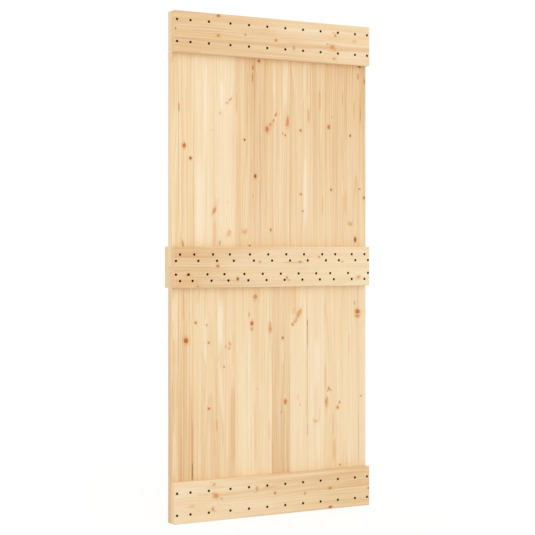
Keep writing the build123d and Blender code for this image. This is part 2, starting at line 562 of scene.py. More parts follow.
        sheet.put(taken["Fleck"], sheet.step(fleck, *self.FLECK_BEGINS))
        return sheet.tree


@dataclass(frozen=True)
class PineFinish:
    """Bare sawn and planed pine for one piece.

    low and high are the tones at the low and the high end of the grain. pith is the place of the
    tree's middle across and through the piece, in metres from its middle, and drift is how far it
    moves away over a metre. spacing is the width of a ring and wander is how far the rings stray,
    both in metres. lines is how strongly late wood shows, bands how strongly broad streaks do, and
    threads how strongly fine ones do.
    """

    low: Tone
    high: Tone
    pith: Spot = (0.01, 0.055)
    drift: float = 0.012
    spacing: float = 0.0052
    wander: float = 0.012
    lines: float = 0.5
    bands: float = 0.45
    seed: float = 1.0
    threads: float = 0.38

    END_GRAIN = linear(244, 208, 161)
    # Painted shade: the dark brown laid into and round the screws' countersunk mouths.
    MOUTH_SHADE_COLOUR = linear(104, 66, 32)
    # The name of the front rails' map of how near the screws' mouths lie, which places the painted
    # shade in and round the countersinks.
    MOUTH_SHADE_MAP = "pressed"
    # How far each seed moves the wood's noise, across, through and along, in metres.
    SEED_STEPS = (3.1, 1.7, 2.3)
    # How far the broad bands bring the turn of the tones forward, as a share of the reach.
    BAND_TURN = 0.8
    # Where broad bands, dark streaks and pale streaks rise in their noise.
    BAND_RISES = (0.38, 0.72)
    DARK_RISES = (0.48, 0.72)
    PALE_RISES = (0.5, 0.3)
    FLECKS = 0.16
    # What the fibres do to the roughness and to the colour: their share and the base.
    ROUGHNESS = (0.16, 0.54)
    FIBRE_SHADE = (0.14, 0.93)
    # The painted shade in and round the screws' mouths: where it rises towards a mouth, and its
    # strength.
    MOUTH_SHADE_RISES = (0.66, 0.96)
    MOUTH_SHADE_STRENGTH = 0.8
    # End grain: how squarely a face looks along the grain, its strength, and its pores.
    END_RISES = (0.75, 0.98)
    END_STRENGTH = 0.62
    PORES = (700.0, 700.0, 700.0)
    PORE_RISES = (0.5, 0.75)
    PORE_STRENGTH = 0.3
    # The relief of rings and fibres, how strong it is, and its height in metres.
    RING_RELIEF = 0.35
    FIBRE_RELIEF = 0.6
    RELIEF = (0.5, 0.2 * MM)

    def material(self, name: str, groups: PineGroups, grain: Grain, middle: Spot, reach: float,
                 marks: list[Mark]) -> bpy.types.Material:
        """Builds the material of one piece.

        Args:
            name: The material's name.
            groups: The shared node groups.
            grain: Which way the grain runs.
            middle: Where the middle of the piece lies across the leaf and up it, in metres.
            reach: Half the length of the piece along its grain, in metres.
            marks: The knots and stains that show on the piece, in the order of painting.

        Returns:
            The material.
        """
        made = bpy.data.materials.new(name)
        sheet = sheet_of(made)
        coords = sheet.node("ShaderNodeTexCoord").outputs
        x, y, z = sheet.split(coords["Object"])
        across, along = sheet.less(x, middle[0]), sheet.less(z, middle[1])
        if grain is Grain.ACROSS:
            across, along = along, across
        place = sheet.join(across, y, along)
        seats = [self.seat(mark, grain, middle) for mark in marks]
        shift: object = 0.0
        for mark, seat in zip(marks, seats):
            if isinstance(mark, Knot):
                bend = sheet.group(groups.bend, Place=place, **seat, Shift=shift)
                shift = bend.outputs["Shift"]
        rings = sheet.group(groups.rings, Place=place, Shift=shift, Pith=(*self.pith, 0.0),
                            Seed=tuple(self.seed * step for step in self.SEED_STEPS),
                            Drift=self.drift, Spacing=self.spacing, Wander=self.wander).outputs
        wood, late = self.ground(sheet, rings, along, reach)
        gloss = sheet.scaled(rings["Fibre"], *self.ROUGHNESS)
        for mark, seat in zip(marks, seats):
            wood, gloss = self.painted(sheet, groups, mark, {"Place": place, **seat}, wood, gloss)
        if grain is Grain.ACROSS:
            # Painted shade: dark brown in the countersunk screw mouths and a thin ring round them.
            near = sheet.node("ShaderNodeAttribute", attribute_name=self.MOUTH_SHADE_MAP).outputs["Fac"]
            ring = sheet.times(sheet.step(near, *self.MOUTH_SHADE_RISES), self.MOUTH_SHADE_STRENGTH)
            wood = sheet.mix(ring, wood, self.MOUTH_SHADE_COLOUR)
        fine = sheet.scaled(rings["Fibre"], *self.FIBRE_SHADE)
        wood = sheet.vector("MULTIPLY", wood, sheet.join(fine, fine, fine))
        normal_x, _, normal_z = sheet.split(coords["Normal"])
        facing = sheet.math("ABSOLUTE", normal_z if grain is Grain.UP else normal_x)
        end = sheet.step(facing, *self.END_RISES)
        wood = sheet.mix(sheet.times(end, self.END_STRENGTH), wood, self.END_GRAIN)
        pores = sheet.step(sheet.noise(place, self.PORES).outputs[0], *self.PORE_RISES)
        wood = sheet.mix(sheet.times(pores, end, self.PORE_STRENGTH), wood, late)
        relief = sheet.scaled(rings["Line"], self.RING_RELIEF,
                              sheet.times(rings["Fibre"], self.FIBRE_RELIEF))
        sheet.show(sheet.fed(sheet.node("ShaderNodeBsdfPrincipled"), {
            "Base Color": wood, "Roughness": gloss, "Specular IOR Level": 0.3,
            "Normal": sheet.bump(relief, *self.RELIEF)}))
        return made

    def ground(self, sheet: NodeSheet, rings: Sockets, along: Socket,
               reach: float) -> tuple[Socket, Socket]:
        """Colours the plain wood.

        The tones turn from low to high along the grain, and the broad bands bring the turn forward
        or back. Bands, rings, flecks and fine streaks are laid over the early wood's tone.

        Args:
            sheet: The sheet to draw on.
            rings: What the growth rings give.
            along: The place along the grain, in metres from the middle.
            reach: Half the length of the piece along its grain, in metres.

        Returns:
            The plain wood's colour and the late wood's.
        """
        band, thread = rings["Band"], rings["Streak"]
        along = sheet.scaled(sheet.less(band, 0.5), reach * self.BAND_TURN, along)
        turn = sheet.step(along, -reach, reach)
        early, late = (sheet.mix(turn, low, high)
                       for low, high in zip(self.low.value, self.high.value))
        streak = sheet.step(band, *self.BAND_RISES)
        wood = sheet.mix(sheet.times(streak, self.bands), early, late)
        wood = sheet.mix(sheet.times(rings["Line"], self.lines), wood, late)
        wood = sheet.mix(sheet.times(rings["Fleck"], self.FLECKS), wood, Tone.AMBER.value[1])
        dark, pale = sheet.step(thread, *self.DARK_RISES), sheet.step(thread, *self.PALE_RISES)
        wood = sheet.mix(sheet.times(dark, self.threads), wood, late)
        return sheet.mix(sheet.times(pale, self.threads), wood, Shade.WHITE.value), late

    @staticmethod
    def painted(sheet: NodeSheet, groups: PineGroups, mark: Mark, placed: dict[str, object],
                wood: Socket, gloss: Socket) -> tuple[Socket, Socket]:
        """Paints one mark on the wood.

        Args:
            sheet: The sheet to draw on.
            groups: The shared node groups.
            mark: The knot or stain.
            placed: The place in the wood and the mark's seat, by the groups' input names.
            wood: The colour so far.
            gloss: The roughness so far.

        Returns:
            The new colour and roughness.
        """
        if isinstance(mark, Knot):
            heart, rim, halo, strength = mark.kind.value
            knot = sheet.group(groups.knot, **placed, Strength=min(strength * mark.fade, 1.0),
                               Heart=heart, Rim=rim, Halo=halo, Wood=wood, Gloss=gloss)
            return knot.outputs["Wood"], knot.outputs["Gloss"]
        stain = sheet.group(groups.stain, **placed, Strength=mark.strength,
                            Shade=mark.shade.value, Wood=wood)
        return stain.outputs["Wood"], gloss

    @staticmethod
    def seat(mark: Mark, grain: Grain, middle: Spot) -> dict[str, object]:
        """Puts a mark into the place of the piece's wood.

        Args:
            mark: The knot or stain.
            grain: Which way the grain runs.
            middle: Where the middle of the piece lies, in metres.

        Returns:
            Its middle and its half sizes, both as across, through and along, and its lean.
        """
        side = LEFT_SIDE + mark.across * MM - middle[0]
        rise = LEAF_HEIGHT - mark.down * MM - middle[1]
        wide, tall = mark.wide * MM / 2, mark.tall * MM / 2
        lean = math.radians(mark.lean)
        if grain is Grain.UP:
            return {"Middle": (side, 0.0, rise), "Half": (wide, 1.0, tall), "Lean": lean}
        return {"Middle": (rise, 0.0, side), "Half": (tall, 1.0, wide), "Lean": -lean}


@dataclass(frozen=True)
class BlackSteelFinish:
    """Blackened steel of the screws, with a thread pressed into their shanks.

    clouds and grit are noise in grains per metre. The worn colour rises between two heights of the
    clouds, and roughness is the clouds' share in it and its base. grit_relief is the grit's share
    of thread_depth, which is in metres. The thread begins and is full at depths counted in pitches.
    """

    colour: Colour = linear(56, 28, 5)
    worn: Colour = linear(72, 40, 12)
    clouds: float = 420.0
    worn_rises: Spot = (0.5, 0.75)
    roughness: Spot = (0.3, 0.35)
    shine: float = 0.03
    grit: float = 2600.0
    grit_relief: float = 0.04
    thread_depth: float = 0.6 * MM
    thread_begins: float = 1.4
    thread_full: float = 2.0

    def material(self, name: str) -> bpy.types.Material:
        """Builds the material.

        Args:
            name: The material's name.

        Returns:
            The material.
        """
        made = bpy.data.materials.new(name)
        sheet = sheet_of(made)
        place = sheet.node("ShaderNodeTexCoord").outputs["Object"]
        cloud = sheet.noise(place, (self.clouds,) * 3, 3.0).outputs[0]
        grit = sheet.noise(place, (self.grit,) * 3, 2.0).outputs[0]
        turns, depth, _ = sheet.split(sheet.node("ShaderNodeUVMap", uv_map="thread").outputs[0])
        crest = sheet.math("PINGPONG", sheet.math("FRACT", sheet.plus(depth, turns)), 0.5)
        threaded = sheet.times(crest, sheet.step(depth, self.thread_begins, self.thread_full))
        sheet.show(sheet.fed(sheet.node("ShaderNodeBsdfPrincipled"), {
            "Base Color": sheet.mix(sheet.step(cloud, *self.worn_rises), self.colour, self.worn),
            "Roughness": sheet.scaled(cloud, *self.roughness), "Specular IOR Level": self.shine,
            "Normal": sheet.bump(sheet.scaled(grit, self.grit_relief, threaded), 0.8,
                                 self.thread_depth)}))
        return made


# The least length that anything is divided by.
TINY = 1e-9


def mesh_object(name: str, points: Array, faces: list[Array],
                sharp_degrees: float) -> bpy.types.Object:
    """Makes an object at the origin from whole arrays.

    Args:
        name: The object's name.
        points: One row of three numbers for each point, in metres.
        faces: Arrays of faces, each with one row of point numbers for each face.
        sharp_degrees: Edges that turn more than this stay sharp.

    Returns:
        The object, linked to the scene.
    """
    sizes = np.concatenate([np.full(len(f), f.shape[1]) for f in faces])
    corners = np.concatenate([f.ravel() for f in faces])
    starts = np.concatenate([[0], np.cumsum(sizes)[:-1]])
    mesh = bpy.data.meshes.new(name)
    mesh.vertices.add(len(points))
    mesh.vertices.foreach_set("co", points.astype(np.float32).ravel())
    mesh.loops.add(len(corners))
    mesh.loops.foreach_set("vertex_index", corners.astype(np.int32))
    mesh.polygons.add(len(sizes))
    mesh.polygons.foreach_set("loop_start", starts.astype(np.int32))
    mesh.update(calc_edges=True)
    mesh.shade_smooth()
    mesh.set_sharp_from_angle(angle=math.radians(sharp_degrees))
    made = bpy.data.objects.new(name, mesh)
    bpy.context.scene.collection.objects.link(made)
    return made


def smooth(value: Array, low: float, high: float) -> Array:
    """A smooth rise from 0 at low to 1 at high."""
    t = np.clip((value - low) / (high - low), 0.0, 1.0)
    return t * t * (3.0 - 2.0 * t)


@dataclass
class FrontRail:
    """A rail across the front of the leaf, with a round countersunk hole for each screw.

    All lengths are in metres. spots are the places of the screws across the leaf and up it. easing
    is the radius of the edges' quarter round, square is half the side of the square round a hole in
    which the grid turns from squares to circles, and over is how much deeper the mouth's cone goes
    than its radius drops. cell and cell_through are the longest gaps in the grid, along the faces
    and through the rail.
    """

    name: str
    bottom: float
    spots: list[Spot]
    easing: float = 1.6 * MM
    hole_radius: float = 2.6 * MM
    mouth_radius: float = 5.08 * MM
    square: float = 8.4 * MM
    over: float = 0.3 * MM
    cell: float = 24 * MM
    cell_through: float = 12 * MM
    body: bpy.types.Object | None = None

    def lines(self, low: float, high: float, places: Array, longest: float) -> Array:
        """Where the grid's lines run along one axis.

        Lines stand where the edge's easing begins and bends, and round each hole at its middle, its
        wall, its mouth and the square in which the grid turns from squares to circles. Plain lines
        fill long gaps.

        Args:
            low: The low end.
            high: The high end.
            places: The holes' middles along this axis.
            longest: The longest gap left without a line.

        Returns:
            The lines in order.
        """
        bend = self.easing * (1 - math.tan(math.pi / 8))
        ends = [low, low + bend, low + self.easing, high - self.easing, high - bend, high]
        steps = np.array([0.0, 0.5 * self.hole_radius, self.hole_radius, self.mouth_radius,
                          self.square])
        steps = np.concatenate([-steps[:0:-1], steps])
        found = self.distinct([ends, (places[:, None] + steps).ravel()])
        fill = [np.linspace(start, start + gap, int(np.ceil(gap / longest)) + 1)[1:-1]
                for start, gap in zip(found, np.diff(found)) if gap > longest]
        return self.distinct([found, *fill])

    @staticmethod
    def distinct(parts: list[Array]) -> Array:
        """All the numbers of some arrays in order, each once, to a thousandth of a millimetre."""
        return np.unique(np.round(np.concatenate(parts), 6))

    def build(self) -> bpy.types.Object:
        """Builds the rail as the skin of a grid of blocks.

        The skin's points are pulled in along the edges: each goes to the nearest point of the block
        that is smaller by the easing, and out again by the easing in the direction that it came
        from, which gives a quarter round. On the front and back, a point within a hole's square
        slides from the square's ring towards the circle of the same size, and inside the mouth the
        front sinks in a cone to the hole's wall. The cells inside the wall are left out, and walls
        join the front ring to the back one.

        Returns:
            The rail.
        """
        low = np.array([LEFT_SIDE, FRONT_OF_RAILS, self.bottom])
        high = low + np.array([LEAF_WIDTH, RAIL_THICKNESS, RAIL_HEIGHT])
        spots = np.array(self.spots)
        xs = self.lines(low[0], high[0], spots[:, 0], self.cell)
        zs = self.lines(low[2], high[2], spots[:, 1], self.cell)
        ys = self.lines(low[1], high[1], np.empty(0), self.cell_through)
        shape = (len(xs), len(ys), len(zs))
        centre_x, centre_z = (xs[1:] + xs[:-1]) / 2, (zs[1:] + zs[:-1]) / 2
        near_x = np.abs(centre_x[:, None, None] - spots[:, 0]) < self.hole_radius
        near_z = np.abs(centre_z[None, :, None] - spots[:, 1]) < self.hole_radius
        inside = (near_x & near_z).any(axis=2)
        codes = np.arange(np.prod(shape)).reshape(shape)
        quads = [self.skin(codes[0], False, None), self.skin(codes[-1], True, None),
                 self.skin(codes[:, 0], True, ~inside), self.skin(codes[:, -1], False, ~inside),
                 self.skin(codes[:, :, 0], False, None), self.skin(codes[:, :, -1], True, None),
                 self.walls(codes[:, 0], codes[:, -1], inside)]
        used, faces = np.unique(np.concatenate(quads), return_inverse=True)
        i, j, k = np.unravel_index(used, shape)
        points = np.stack([xs[i], ys[j], zs[k]], axis=1)
        near = self.near_screws(points, j == 0, spots)
        points = self.sunk(self.eased(points, low, high), j == 0, j == shape[1] - 1, spots)
        self.body = mesh_object(self.name, points, [faces.reshape(-1, 4)], sharp_degrees=40.0)
        # Nearness to the screws' mouths, which the painted shade of the countersinks follows.
        layer = self.body.data.attributes.new(PineFinish.MOUTH_SHADE_MAP, "FLOAT", "POINT")
        layer.data.foreach_set("value", near.astype(np.float32))
        return self.body

    def near_screws(self, points: Array, front: Array, spots: Array) -> Array:
        """How near each point of the front is to a screw's mouth, which sets where the wood gets
        its painted shade.

        The larger of the two offsets from the nearest screw falls from 1 at the mouth to 0 at the
        edge of the hole's square.

        Args:
            points: The skin's points before they are moved.
            front: Which points lie on the front.
            spots: The screws' places.

        Returns:
            One number from 0 to 1 for each point.
        """
        reach = np.abs(points[:, None, [0, 2]] - spots[None]).max(axis=2).min(axis=1)
        near = (self.square - reach) / (self.square - self.mouth_radius)
        return np.where(front, np.clip(near, 0.0, 1.0), 0.0)

    @staticmethod
    def skin(codes: Array, turned: bool, kept: Array | None) -> Array:
        """Quads of one side of the block.

        Args:
            codes: The side's point numbers on their grid.
            turned: Whether the quads run the other way round.
            kept: Which cells are kept, or all of them.

        Returns:
            One row of four point numbers for each quad.
        """
        a, b, c, d = codes[:-1, :-1], codes[:-1, 1:], codes[1:, 1:], codes[1:, :-1]
        quads = np.stack([a, d, c, b] if turned else [a, b, c, d], axis=-1)
        return quads.reshape(-1, 4) if kept is None else quads[kept]

    @staticmethod
    def walls(front: Array, back: Array, inside: Array) -> Array:
        """Quads of the holes' walls, one for each edge between a cell left out and one kept.

        Args:
            front: Point numbers of the front side.
            back: Point numbers of the back side.
            inside: Which cells are left out.

        Returns:
            One row of four point numbers for each quad.
        """
        rows = []
        for near, far, out, rising in ((front, back, inside, 1), (front.T, back.T, inside.T, -1)):
            change = np.diff(out.astype(int), axis=0)
            for sign in (1, -1):
                i, k = np.nonzero(change == sign)
                first, last = (k, k + 1) if sign == rising else (k + 1, k)
                rows.append(np.stack([near[i + 1, first], far[i + 1, first],
                                      far[i + 1, last], near[i + 1, last]], axis=1))
        return np.concatenate(rows)

    def eased(self, points: Array, low: Array, high: Array) -> Array:
        """Rounds the block's edges, as build tells.

        Args:
            points: The skin's points.
            low: The block's low corner.
            high: The block's high corner.

        Returns:
            The moved points.
        """
        inner = np.clip(points, low + self.easing, high - self.easing)
        offset = points - inner
        length = np.linalg.norm(offset, axis=1, keepdims=True)
        return inner + self.easing * offset / np.maximum(length, TINY)

    def sunk(self, points: Array, front: Array, back: Array, spots: Array) -> Array:
        """Turns the squares round the screws into circles and sinks the mouths, as build tells.

        Args:
            points: The skin's points.
            front: Which points lie on the front.
            back: Which points lie on the back.
            spots: The screws' places.

        Returns:
            The moved points.
        """
        offsets = points[:, None, [0, 2]] - spots[None]
        reach = np.abs(offsets).max(axis=2)
        nearest = reach.argmin(axis=1)
        rows = np.arange(len(points))
        offset, size = offsets[rows, nearest], reach[rows, nearest]
        length = np.maximum(np.linalg.norm(offset, axis=1), TINY)
        circle = offset * (size / length)[:, None]
        share = smooth(size, self.mouth_radius, self.square)[:, None]
        moved = circle * (1 - share) + offset * share
        touched = (front | back) & (size < self.square)
        points[touched, 0] = (spots[nearest, 0] + moved[:, 0])[touched]
        points[touched, 2] = (spots[nearest, 1] + moved[:, 1])[touched]
        drop = self.mouth_radius - self.hole_radius
        depth = np.clip((self.mouth_radius - size) / drop, 0.0, 1.0) * (drop + self.over)
        points[front, 1] += depth[front]
        return points

    def dress(self, finish: PineFinish, groups: PineGroups, marks: list[Mark]) -> None:
        """Gives the rail its wood and puts it in the place of the plain one.

        Args:
            finish: The rail's pine.
            groups: The shared node groups.
            marks: The knots and stains that show on it.
        """
        middle = (0.0, self.bottom + RAIL_HEIGHT / 2)
        paint(self.body, finish.material("pine_of_" + self.name, groups, Grain.ACROSS, middle,
                                         LEAF_WIDTH / 2, marks))
        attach(self.body, "root")
        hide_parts(self.name)


@dataclass
class ScrewSet:
    """The black countersunk screws of one rail, with cross recesses, as one piece of many bodies.

    Lengths are in metres. through is what a screw passes before its point begins, sink is how far
    the head lies below the rail's face, and foot and top are how far the recess's walls stand from
    the middle of its arm, at their foot and at their top. Each screw is turned by spin_degrees more
    than the one before it.
    """

    ARMS = 4
    # Rings from the middle that have the recess's lines. The others have even ones.
    RECESS_RINGS = 3

    name: str
    spots: list[Spot]
    through: float
    head_radius: float = 4.98 * MM
    shank_radius: float = 2.14 * MM
    sink: float = 0.3 * MM
    point: float = 20 * MM
    recess: float = 2.0 * MM
    foot: float = 0.48 * MM
    top: float = 0.82 * MM
    pitch: float = 1.8 * MM
    spin_degrees: float = 137.5
    body: bpy.types.Object | None = None

    def profile(self) -> Array:
        """The screw's outline from the middle of its head to its tip.

        Two rings lie in the recess, then come the end of its arms, the flat of the head, its rolled
        edge and its rim, the neck, the end of the shank, and the point.

        Returns:
            Three rows: each ring's radius, its depth below the rail's face, and how deep the recess
            is there, as a share.
        """
        face = self.sink
        neck = face + self.head_radius - self.shank_radius
        return np.array([
            (1.3 * MM, face, 1.0),
            (2.3 * MM, face, 0.7),
            (2.85 * MM, face, 0.0),
            (4.4 * MM, face, 0.0),
            (4.82 * MM, face + 0.07 * MM, 0.0),
            (self.head_radius, face + 0.25 * MM, 0.0),
            (self.shank_radius, neck + 0.15 * MM, 0.0),
            (self.shank_radius, self.through, 0.0),
            (0.55 * self.shank_radius, self.through + 0.5 * self.point, 0.0),
            (0.2 * MM, self.through + 0.97 * self.point, 0.0),
        ]).T

    def build(self) -> bpy.types.Object:
        """Builds one screw as a profile carried round its axis, and repeats it at every spot.

        Each quarter turn has six lines: the middle of a recess arm, the two feet of its walls, the
        two tops of them, and one between arms. Near the middle the feet and tops are turned away
        from the arm by the angle whose sine is their offset over the radius, so the arm keeps its
        width. Points on the arm sink by the recess's depth.

        Returns:
            The set of screws.
        """
        radii, depths, shares = self.profile()
        offsets = np.array([-self.top, -self.foot, 0.0, self.foot, self.top])
        steepest = 0.68
        slant = np.arcsin(np.clip(offsets / radii[:, None], -steepest, steepest))
        between = np.full((len(radii), 1), math.pi / self.ARMS)
        slant = np.concatenate([slant, between], axis=1)
        arms = np.arange(self.ARMS) * 2 * math.pi / self.ARMS
        turn = (slant[:, None, :] + arms[None, :, None]).reshape(len(radii), -1)
        count = turn.shape[1]
        # The third line lies along the first arm, here as above.
        even = (np.arange(count) - 2) * 2 * math.pi / count
        turn = np.where(np.arange(len(radii))[:, None] >= self.RECESS_RINGS, even, turn)
        on_arm = np.tile([0.0, 1.0, 1.0, 1.0, 0.0, 0.0], self.ARMS)
        depth = depths[:, None] + shares[:, None] * on_arm * self.recess
        ring = np.stack([radii[:, None] * np.cos(turn), depth, radii[:, None] * np.sin(turn)],
                        axis=-1)
        deepest = self.sink + 1.15 * self.recess
        poles = np.array([[0.0, deepest, 0.0], [0.0, self.through + self.point, 0.0]])
        one = np.concatenate([ring.reshape(-1, 3), poles])
        here = np.arange(len(radii) * count).reshape(len(radii), count)
        after = np.roll(here, -1, axis=1)
        sides = np.stack([here[:-1], after[:-1], after[1:], here[1:]], axis=-1).reshape(-1, 4)
        first, last = len(one) - 2, len(one) - 1
        caps = np.concatenate([
            np.stack([np.full(count, first), after[0], here[0]], axis=1),
            np.stack([np.full(count, last), here[-1], after[-1]], axis=1)])
        places = np.array([(x, FRONT_OF_RAILS, z) for x, z in self.spots])
        spin = np.deg2rad((np.arange(len(places)) * self.spin_degrees) % (360 / self.ARMS))[:, None]
        x = one[:, 0] * np.cos(spin) - one[:, 2] * np.sin(spin)
        z = one[:, 0] * np.sin(spin) + one[:, 2] * np.cos(spin)
        points = np.stack([x, np.broadcast_to(one[:, 1], x.shape), z], axis=-1) + places[:, None]
        jump = (np.arange(len(places)) * len(one))[:, None, None]
        all_sides, all_caps = (sides + jump).reshape(-1, 4), (caps + jump).reshape(-1, 3)
        self.body = mesh_object(self.name, points.reshape(-1, 3), [all_sides, all_caps],
                                sharp_degrees=35.0)
        self.wind(depths, count, len(all_caps))
        return self.body

    def wind(self, depths: Array, count: int, caps: int) -> None:
        """Writes the map that the thread follows: turns round the screw, and depth in pitches.

        Args:
            depths: Depth of every ring.
            count: Sides in a ring.
            caps: How many end faces all the screws have.
        """
        turns = np.arange(count) / count
        low, high = depths[:-1] / self.pitch, depths[1:] / self.pitch
        shape = (len(low), count, 4)
        u = np.broadcast_to(np.stack([turns, turns + 1 / count, turns + 1 / count, turns], axis=-1),
                            shape)
        v = np.broadcast_to(np.stack([low, low, high, high], axis=-1)[:, None], shape)
        one = np.stack([u, v], axis=-1).reshape(-1, 2)
        everything = np.concatenate([np.tile(one, (len(self.spots), 1)), np.zeros((caps * 3, 2))])
        layer = self.body.data.uv_layers.new(name="thread")
        layer.data.foreach_set("uv", everything.astype(np.float32).ravel())

    def dress(self, steel: bpy.types.Material) -> None:
        """Gives the screws their steel and puts them in the place of the plain ones.

        Args:
            steel: The screws' material.
        """
        paint(self.body, steel)
        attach(self.body, "root")
        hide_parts(self.name)


def listed(*values: float) -> list[float]:
    """A dataclass field that holds its own copy of a list."""
    return field(default_factory=lambda: list(values))


@dataclass
class ScrewRows:
    """Where the screws stand, worked out from the boards that they hold. Millimetres.

    sides are the boards' sides from the leaf's left side. The rows of the top and bottom rails lie
    outer_row and inner_row in from the leaf's end, row_shift right of the boards' middles, and
    edge_inset in from the leaf's sides. The middle rail's rows lie near_row and far_row from the
    leaf's middle, less rows_drop. Its pairs spread by half_spread to each side of a place that is
    shifted from the board's middle, or lies pair_inset in from the leaf's side.
    """

    sides: list[float] = listed(0, 34, 105, 211, 299, 387, 475, 563, 651, 739, 827, 915, 950)
    outer_row: float = 36.0
    inner_row: float = 126.0
    edge_inset: float = 12.2
    row_shift: float = 3.9
    near_row: float = 27.9
    far_row: float = 54.2
    rows_drop: float = 1.8
    pair_inset: float = 16.5
    half_spread: float = 9.35
    upper_shifts: list[float] = listed(30.5, 28.5, 10.5, 18, 18, 18, 18, 21.5, -0.5, -3.5)
    lower_shifts: list[float] = listed(4, 3, -15, -8.7, -8.7, -8.7, -8.7, -9, -26, -22.5)

    def top(self) -> list[Spot]:
        """The top rail's screws."""
        height = LEAF_HEIGHT / MM
        return self.straight(height - self.outer_row, height - self.inner_row)

    def middle(self) -> list[Spot]:
        """The middle rail's screws.

        Returns:
            The spots in metres, from the left, the upper boards' before the lower ones'.
        """
        level = MID_HEIGHT / MM - self.rows_drop
        near, far = self.near_row, self.far_row
        return (self.slanting(self.upper_shifts, level + far, level + near, 0)
                + self.slanting(self.lower_shifts, level - near, level - far, -1))

    def bottom(self) -> list[Spot]:
        """The bottom rail's screws."""
        return self.straight(self.outer_row, self.inner_row)

    def middles(self) -> Array:
        """The middle of every board across the leaf, from its left side."""
        sides = np.array(self.sides, float)
        return (sides[1:] + sides[:-1]) / 2

    def straight(self, outer: float, inner: float) -> list[Spot]:
        """Two straight rows, one screw of each in every board.

        Args:
            outer: Height of one row.
            inner: Height of the other row.

        Returns:
            The spots in metres.
        """
        across = self.middles() + self.row_shift
        across[0] = self.edge_inset
        # The wide third board has its screws in its middle.
        across[2] -= self.row_shift
        across[-1] = self.sides[-1] - self.edge_inset
        return [(LEFT_SIDE + x * MM, z * MM) for z in (outer, inner) for x in across]

    def slanting(self, shifts: list[float], upper: float, lower: float, turned: int) -> list[Spot]:
        """A slanting pair in every board end.

        Args:
            shifts: How far right of its board's middle each inner pair sits.
            upper: Height of the upper row.
            lower: Height of the lower row.
            turned: The number of the pair that leans the other way.

        Returns:
            The spots in metres.
        """
        across = self.middles()
        across[1:-1] += np.array(shifts)
        across[0] = self.pair_inset
        across[-1] = self.sides[-1] - self.pair_inset
        half = np.full(len(across), self.half_spread)
        half[turned] *= -1
        pairs = [(x - h, x + h) for x, h in zip(across, half)]
        return [(LEFT_SIDE + x * MM, z * MM) for a, b in pairs for x, z in ((a, upper), (b, lower))]


@dataclass
class BoardField:
    """Twelve upright boards side by side, which keep their solid shape and get their own wood.

    bottom and top are in metres, and sides are the boards' sides in millimetres.
    """

    name: str
    bottom: float
    top: float
    finishes: list[PineFinish]
    marks: list[Mark]
    sides: list[float]

    def dress(self, groups: PineGroups) -> None:
        """Gives every board a material of its own, with the knots that reach it.

        Args:
            groups: The shared node groups.
        """
        height = (self.bottom + self.top) / 2
        for index, finish in enumerate(self.finishes):
            left, right = self.sides[index], self.sides[index + 1]
            marks = [mark for mark in self.marks
                     if left - 0.9 * mark.wide < mark.across < right + 0.9 * mark.wide]
            middle = (LEFT_SIDE + (left + right) / 2 * MM, height)
            node = f"{self.name}_{index + 1:02d}"
            paint(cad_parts[node], finish.material(
                "pine_of_" + node, groups, Grain.UP, middle, (self.top - self.bottom) / 2, marks))
            logging.info("dressed %s with %d knots and stains", node, len(marks))


@dataclass
class BackRail:
    """The rail across the back at mid-height, which keeps its solid shape and gets its own wood."""

    name: str = "middle_rail_back"

    def dress(self, finish: PineFinish, groups: PineGroups, marks: list[Mark]) -> None:
        """Gives the rail its wood.

        Args:
            finish: The rail's pine.
            groups: The shared node groups.
            marks: The knots and stains that show on it.
        """
        paint(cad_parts[self.name], finish.material(
            "pine_of_" + self.name, groups, Grain.ACROSS, (0.0, MID_HEIGHT), LEAF_WIDTH / 2, marks))


